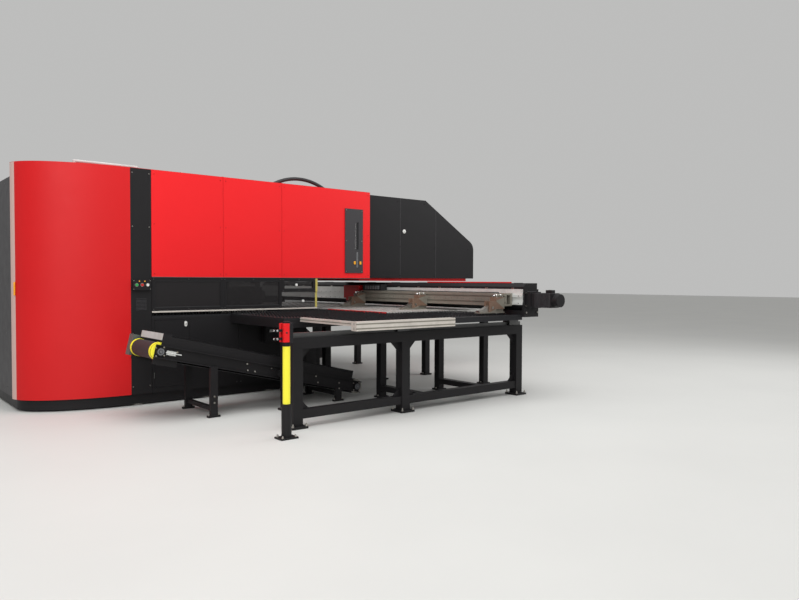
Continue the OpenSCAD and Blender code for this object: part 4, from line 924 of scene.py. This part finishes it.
def dress_guards():
    screws, seals, knobs, curtain, edge = (Shape() for _ in range(5))
    for side in SIDES:
        for x0, x1, z0 in PANES:
            screws.screw_grid((x0 + 0.018, (x0 + x1) / 2, x1 - 0.018), side * HOOD_HALF,
                              (z0 + 0.018, 1.312), side, 0.006)
            for z in (z0 + 0.036, 1.288):
                seals.box((x0 + 0.036, x1 - 0.036), across(side, 0.7425, 0.7465), (z, z + 0.006))
        for x, z in ((0.157, 1.248), (0.250, 1.054)):
            knobs.stud((x, side * 0.7406, z), (0, side, 0), 0.0074, 0.009)
            knobs.stud((x, side * 0.748, z), (0, side, 0), 0.014, 0.016, 20)
        for x in steps(-0.036, 0.031, 15):
            curtain.box((x, x + 0.0298), across(side, 0.7375, 0.7405), CURTAIN_Z)
        edge.box((0.4315, 0.4585), across(side, 0.7365, 0.7420), CURTAIN_Z)
    screws.piece("guard_screws", "dark_steel")
    seals.piece("guard_window_seals", "rubber")
    knobs.piece("guard_knobs", "white_plastic", bevel=0.002)
    curtain.piece("guard_strip_curtain", "window")
    edge.piece("guard_curtain_edge", "dull_yellow", bevel=0.001)


# Conveyor

CONVEYOR_HEAD = Vector((-1.892, -1.5, 0.655))
CONVEYOR_SLOPE = math.radians(13.4)
CONVEYOR_LENGTH = 2.25
CONVEYOR_SIDE = 0.275
CONVEYOR_FEET = (0.50625, 1.935)
SIDE_BOLTS = ((0.16, 0.02), (0.88, 0.03), (0.90, -0.03), (0.98, -0.03), (1.16, 0.03), (1.70, 0.03),
              (1.74, -0.03))


def on_conveyor(x, y, z):
    """A point given along, across and above the conveyor's centre line."""
    c, s = math.cos(CONVEYOR_SLOPE), math.sin(CONVEYOR_SLOPE)
    return CONVEYOR_HEAD + Vector((x * c + z * s, y, -x * s + z * c))


def tilted_box(shape, x, y, z):
    """A box in the conveyor's own frame."""
    centre = on_conveyor((x[0] + x[1]) / 2, (y[0] + y[1]) / 2, (z[0] + z[1]) / 2)
    matrix = (Matrix.Translation(centre) @ Matrix.Rotation(CONVEYOR_SLOPE, 4, "Y")
              @ Matrix.Diagonal((x[1] - x[0], y[1] - y[0], z[1] - z[0], 1)))
    bmesh.ops.create_cube(shape.mesh, size=1.0, matrix=matrix)


def bolt_circle(shape, centre, way, circle, angles, height, radius):
    """Hexagon heads around a centre, on an upright face that looks along way."""
    for angle in angles:
        place = centre + circle * Vector((math.cos(angle), 0, math.sin(angle)))
        shape.stud(place, way, height, radius, 6)


def dress_conveyor():
    bolts, tension, caps, silver, yellow, lacing, feet, gear = (Shape() for _ in range(8))
    face = -CONVEYOR_SIDE - 0.008
    for x, z in SIDE_BOLTS:
        bolts.stud(on_conveyor(x, face, z), NEAR, 0.006, 0.009, 6)
    tilted_box(tension, (0.060, 0.150), (face - 0.012, face - 0.0005), (-0.018, 0.022))
    tension.rod(on_conveyor(0.05, face - 0.016, 0.002), on_conveyor(0.20, face - 0.016, 0.002),
                0.005, sides=10)
    tension.piece("conveyor_tension_bracket", "silver", bevel=0.001)
    for x in (0.0, CONVEYOR_LENGTH):
        centre = on_conveyor(x, face - 0.024, 0)
        caps.ring(centre, NEAR, 0.032, 0.019, 0.004)
        caps.stud(centre, NEAR, 0.010, 0.014, 20)
        bolt_circle(bolts, on_conveyor(x, face, 0), NEAR, 0.052, turns(4, 0.5), 0.007, 0.0075)
    bolts.piece("conveyor_bolts", "steel")
    caps.piece("conveyor_bearing_caps", "casting", bevel=0.001)
    tilted_box(silver, (-0.0005, 0.0009), (-0.274, 0.274), (0.104, 0.166))
    for side in SIDES:
        tilted_box(silver, (0.08, 2.16), across(side, 0.2752, 0.2790), (0.150, 0.1598))
        yellow.ring(on_conveyor(0, side * 0.2722, 0), (0, side, 0), 0.079, 0.03, 0.0018, 40)
        yellow.ring(on_conveyor(0, side * 0.2280, 0), (0, side, 0), 0.0838, 0.0808, 0.034, 48)
    silver.piece("conveyor_guard_plate", "galvanised")
    yellow.piece("head_drum_flanges", "yellow", "head_drum")
    for x, way in ((0.62, 1), (1.72, -1)):
        for start in (x, x + 0.020):
            tilted_box(lacing, (start, start + 0.014), (-0.255, 0.255), across(way, 0.0803, 0.0812))
    lacing.piece("belt_lacing", "steel")
    for x in (CONVEYOR_HEAD.x + place for place in CONVEYOR_FEET):
        for side in SIDES:
            y = CONVEYOR_HEAD.y + side * 0.297
            for dx in (-0.049, 0.049):
                feet.stud((x + dx, y, PLATE_TOP), UP, 0.014, 0.008, 6)
            for z in (0.14, 0.20):
                feet.stud((x, y + side * 0.018, z), (0, side, 0), 0.007, 0.009, 6)
    feet.piece("conveyor_foot_bolts", "steel")
    centre = on_conveyor(0, CONVEYOR_SIDE + 0.138, 0)
    gear.ring(centre, FAR, 0.045, 0.02, 0.006, 28)
    bolt_circle(gear, centre, FAR, 0.036, turns(6), 0.011, 0.005)
    gear.piece("gearbox_cover", "steel")


# Sensor post

POST_X, POST_Y = -1.3, -3.0


def dress_post():
    sleeve, knobs, dark, nuts, cap = (Shape() for _ in range(5))
    sleeve.ring((POST_X, POST_Y, 0.2805), UP, 0.0312, 0.0302, 0.48, 40)
    sleeve.piece("post_sleeve", "yellow")
    for z in (0.8256, 0.8928):
        knobs.stud((POST_X - 0.112, POST_Y, z), REAR, 0.007, 0.008, 14)
        knobs.stud((POST_X - 0.095, POST_Y - 0.015, z), NEAR, 0.009, 0.009)
    knobs.piece("post_arm_knobs", "chrome", bevel=0.001)
    low, high = corners("sensor_head")
    dark.box((low[0] + 0.004, high[0] - 0.006), (high[1], high[1] + 0.018),
             (low[2] + 0.012, high[2] - 0.012))
    dark.box((POST_X + 0.006, high[0] + 0.002), (low[1] - 0.002, high[1]),
             (low[2] - 0.004, high[2] + 0.004))
    dark.stud((POST_X - 0.020, low[1], low[2] + 0.078), NEAR, 0.003, 0.008)
    dark.piece("sensor_head_body", "gloss_black", bevel=0.002)
    for x in about(POST_X, 0.06):
        for y in about(POST_Y, 0.042):
            nuts.ring((x, y, 0.014), UP, 0.0125, 0.0065, 0.002, 20)
            nuts.stud((x, y, 0.016), UP, 0.009, 0.0095, 6)
            nuts.stud((x, y, 0.0), UP, 0.034, 0.0058, 12)
    nuts.piece("post_anchor_nuts", "steel")
    cap.rod((POST_X, POST_Y, 0.96), (POST_X, POST_Y, 0.966), 0.029, 0.026, 32)
    cap.ring((POST_X, POST_Y, 0.2805), UP, 0.041, 0.0318, 0.006, 40)
    cap.piece("post_cap", "black", bevel=0.001)


# Roof hose, rear cabinet, lower panels

HOSE_START = Vector((0.15, -0.1, 2.49))
HOSE_HALF = 0.45
HOSE_RISE = 0.14
HOSE_RADIUS = 0.022
HOSE_RIBS = 64
BOX_FACE = 0.075


def dress_roof_hose():
    ribs, nuts, screws = Shape(), Shape(), Shape()
    radius = (HOSE_HALF ** 2 + HOSE_RISE ** 2) / (2 * HOSE_RISE)
    spread = math.asin(HOSE_HALF / radius)
    middle = HOSE_START + Vector((HOSE_HALF, 0, HOSE_RISE - radius))

    def on_arc(angle):
        """A place on the hose's centre line, and the way the line runs there."""
        out = Vector((math.cos(angle), 0, math.sin(angle)))
        return middle + radius * out, Vector((-out.z, 0, out.x))

    for i in range(2, HOSE_RIBS - 1):
        place, way = on_arc(math.pi / 2 - spread + 2 * spread * i / HOSE_RIBS)
        ribs.ring(place - way * 0.0025, way, HOSE_RADIUS + 0.0015, HOSE_RADIUS - 0.002, 0.005, 18)
    highest = corners("roof_hose")[1][2]
    for vert in ribs.mesh.verts:
        vert.co.z = min(vert.co.z, highest)
    ribs.piece("roof_hose_ribs", "rubber")
    for sign in (1, -1):
        for step, outer in ((0.030, 0.028), (0.052, 0.025)):
            place, way = on_arc(math.pi / 2 - sign * (spread - step / radius))
            nuts.stud(place, sign * way, 0.018, outer, 8)
    nuts.piece("roof_hose_gland_nuts", "silver", bevel=0.001)
    for x in (HOSE_START.x, HOSE_START.x + 2 * HOSE_HALF):
        for side in SIDES:
            screws.screw_grid(about(x, 0.035), HOSE_START.y + side * 0.04, (2.465,), side, 0.005, 0.002)
    screws.piece("gland_box_screws", "steel")


def dress_rear_cabinet():
    low, high = corners("rear_cabinet")
    y = high[1]
    handles, hinges, screws = Shape(), Shape(), Shape()
    for x in (low[0] + 0.42, low[0] + 0.50):
        for z in (0.72, 1.66):
            handles.box(about(x, 0.012), (y, y + 0.012), about(z, 0.07))
            handles.stud((x, y + 0.012, z), FAR, 0.018, 0.009)
            handles.box(about(x, 0.007), (y + 0.026, y + 0.036), (z - 0.075, z + 0.02))
    handles.piece("cabinet_handles", "gloss_black", bevel=0.002)
    for x in (low[0] + 0.01, high[0] - 0.02):
        for z in (0.25, 1.15, 1.42, 2.2):
            hinges.stud((x, y + 0.006, z - 0.04), UP, 0.08, 0.006, 14)
    hinges.piece("cabinet_hinges", "steel")
    for z in (0.2, 0.75, 1.25, 1.36, 1.8, 2.28):
        for dy in (0.06, 0.35, 0.64, 0.93):
            screws.screw((low[0], low[1] + dy, z), REAR)
        screws.screw((low[0] + 0.46, y, z), FAR)
    screws.piece("cabinet_screws", "dark_steel")


def dress_lower_panels():
    y = corners("lower_panels")[0][1]
    screws, vents, hinges = Shape(), Shape(), Shape()
    for side, columns in ((-1, (-0.625, -0.575, 0.28)), (1, (-1.565, -0.625, -0.575, 0.28))):
        screws.screw_grid(columns, side * HOOD_HALF, (0.15, 0.5, 0.86), side)
    screws.piece("lower_panel_screws", "dark_steel")
    box = Shape().box((-0.30, -0.06), (y - BOX_FACE, y), (0.58, 0.80))
    box.piece("junction_box", "black", bevel=0.004)
    plate = Shape().box((-0.245, -0.205), (y - BOX_FACE - 0.0012, y - BOX_FACE), (0.70, 0.73))
    plate.piece("junction_box_plate", "silver", bevel=0.0005)
    # Gloss black discs stand for the panel's perforation holes: painted shade inside the holes.
    for x in steps(-0.42, 0.030, 11):
        for z in steps(0.33, 0.030, 4):
            vents.stud((x, y, z), NEAR, 0.0009, 0.009, 12)
    vents.piece("panel_perforation_shade_discs", "gloss_black")
    for z in (0.30, 0.74):
        hinges.stud((-1.566, y - 0.005, z - 0.03), UP, 0.06, 0.005, 12)
    hinges.piece("door_hinge_knuckles", "dark_steel")
    low, high = corners("door_lock")
    key = Shape().stud(((low[0] + high[0]) / 2, low[1], (low[2] + high[2]) / 2), NEAR, 0.002, 0.005, 12)
    key.piece("door_lock_key", "steel", "service_door")


# Stage and light

FLOOR_HALF = 60.0
WORLD_COLOUR = (0.93, 0.93, 0.92, 1)
WORLD_STRENGTH = 0.55


def make_stage():
    mesh = bpy.data.meshes.new("floor")
    half = FLOOR_HALF
    mesh.from_pydata([(-half, -half, 0), (half, -half, 0), (half, half, 0), (-half, half, 0)],
                     [], [(0, 1, 2, 3)])
    material, tree, shader = new_material("pale_floor")
    tree.links.new(mix_colour(tree, noise(tree, 0.7, 5), (0.62, 0.62, 0.60), (0.56, 0.56, 0.545)),
                   shader.inputs["Base Color"])
    shader.inputs["Roughness"].default_value = 0.6
    mesh.materials.append(material)
    floor = new_object("floor", mesh)


def area_light(name, place, target, size, power):
    data = bpy.data.lights.new(name, "AREA")
    data.shape = "RECTANGLE"
    data.size, data.size_y = size
    data.energy = power
    light = new_object(name, data)
    light.location = place
    light.rotation_euler = (Vector(target) - Vector(place)).to_track_quat("-Z", "Y").to_euler()


def make_light():
    world = bpy.data.worlds.new("world")
    bpy.context.scene.world = world
    world.use_nodes = True
    back = world.node_tree.nodes["Background"]
    back.inputs["Color"].default_value = WORLD_COLOUR
    back.inputs["Strength"].default_value = WORLD_STRENGTH
    area_light("ceiling_light", (-1.5, -3.0, 7.5), (0, 0, 0.8), (9, 7), 560)
    area_light("front_light", (-6.5, -9.0, 4.5), (0, -0.5, 1.0), (5, 4), 300)
    area_light("side_light", (7.5, -5.0, 5.0), (1.0, 0, 1.0), (4, 4), 160)


make_camera()
materials = build_materials()
dress_nodes()
dress_hood()
dress_corner_cover()
dress_nose()
dress_gauge()
dress_controls()
dress_tables()
dress_frames()
dress_carriage()
dress_cross_slide()
dress_turrets()
dress_guards()
dress_conveyor()
dress_post()
dress_roof_hose()
dress_rear_cabinet()
dress_lower_panels()
make_stage()
make_light()
bpy.context.scene.view_settings.view_transform = "Standard"
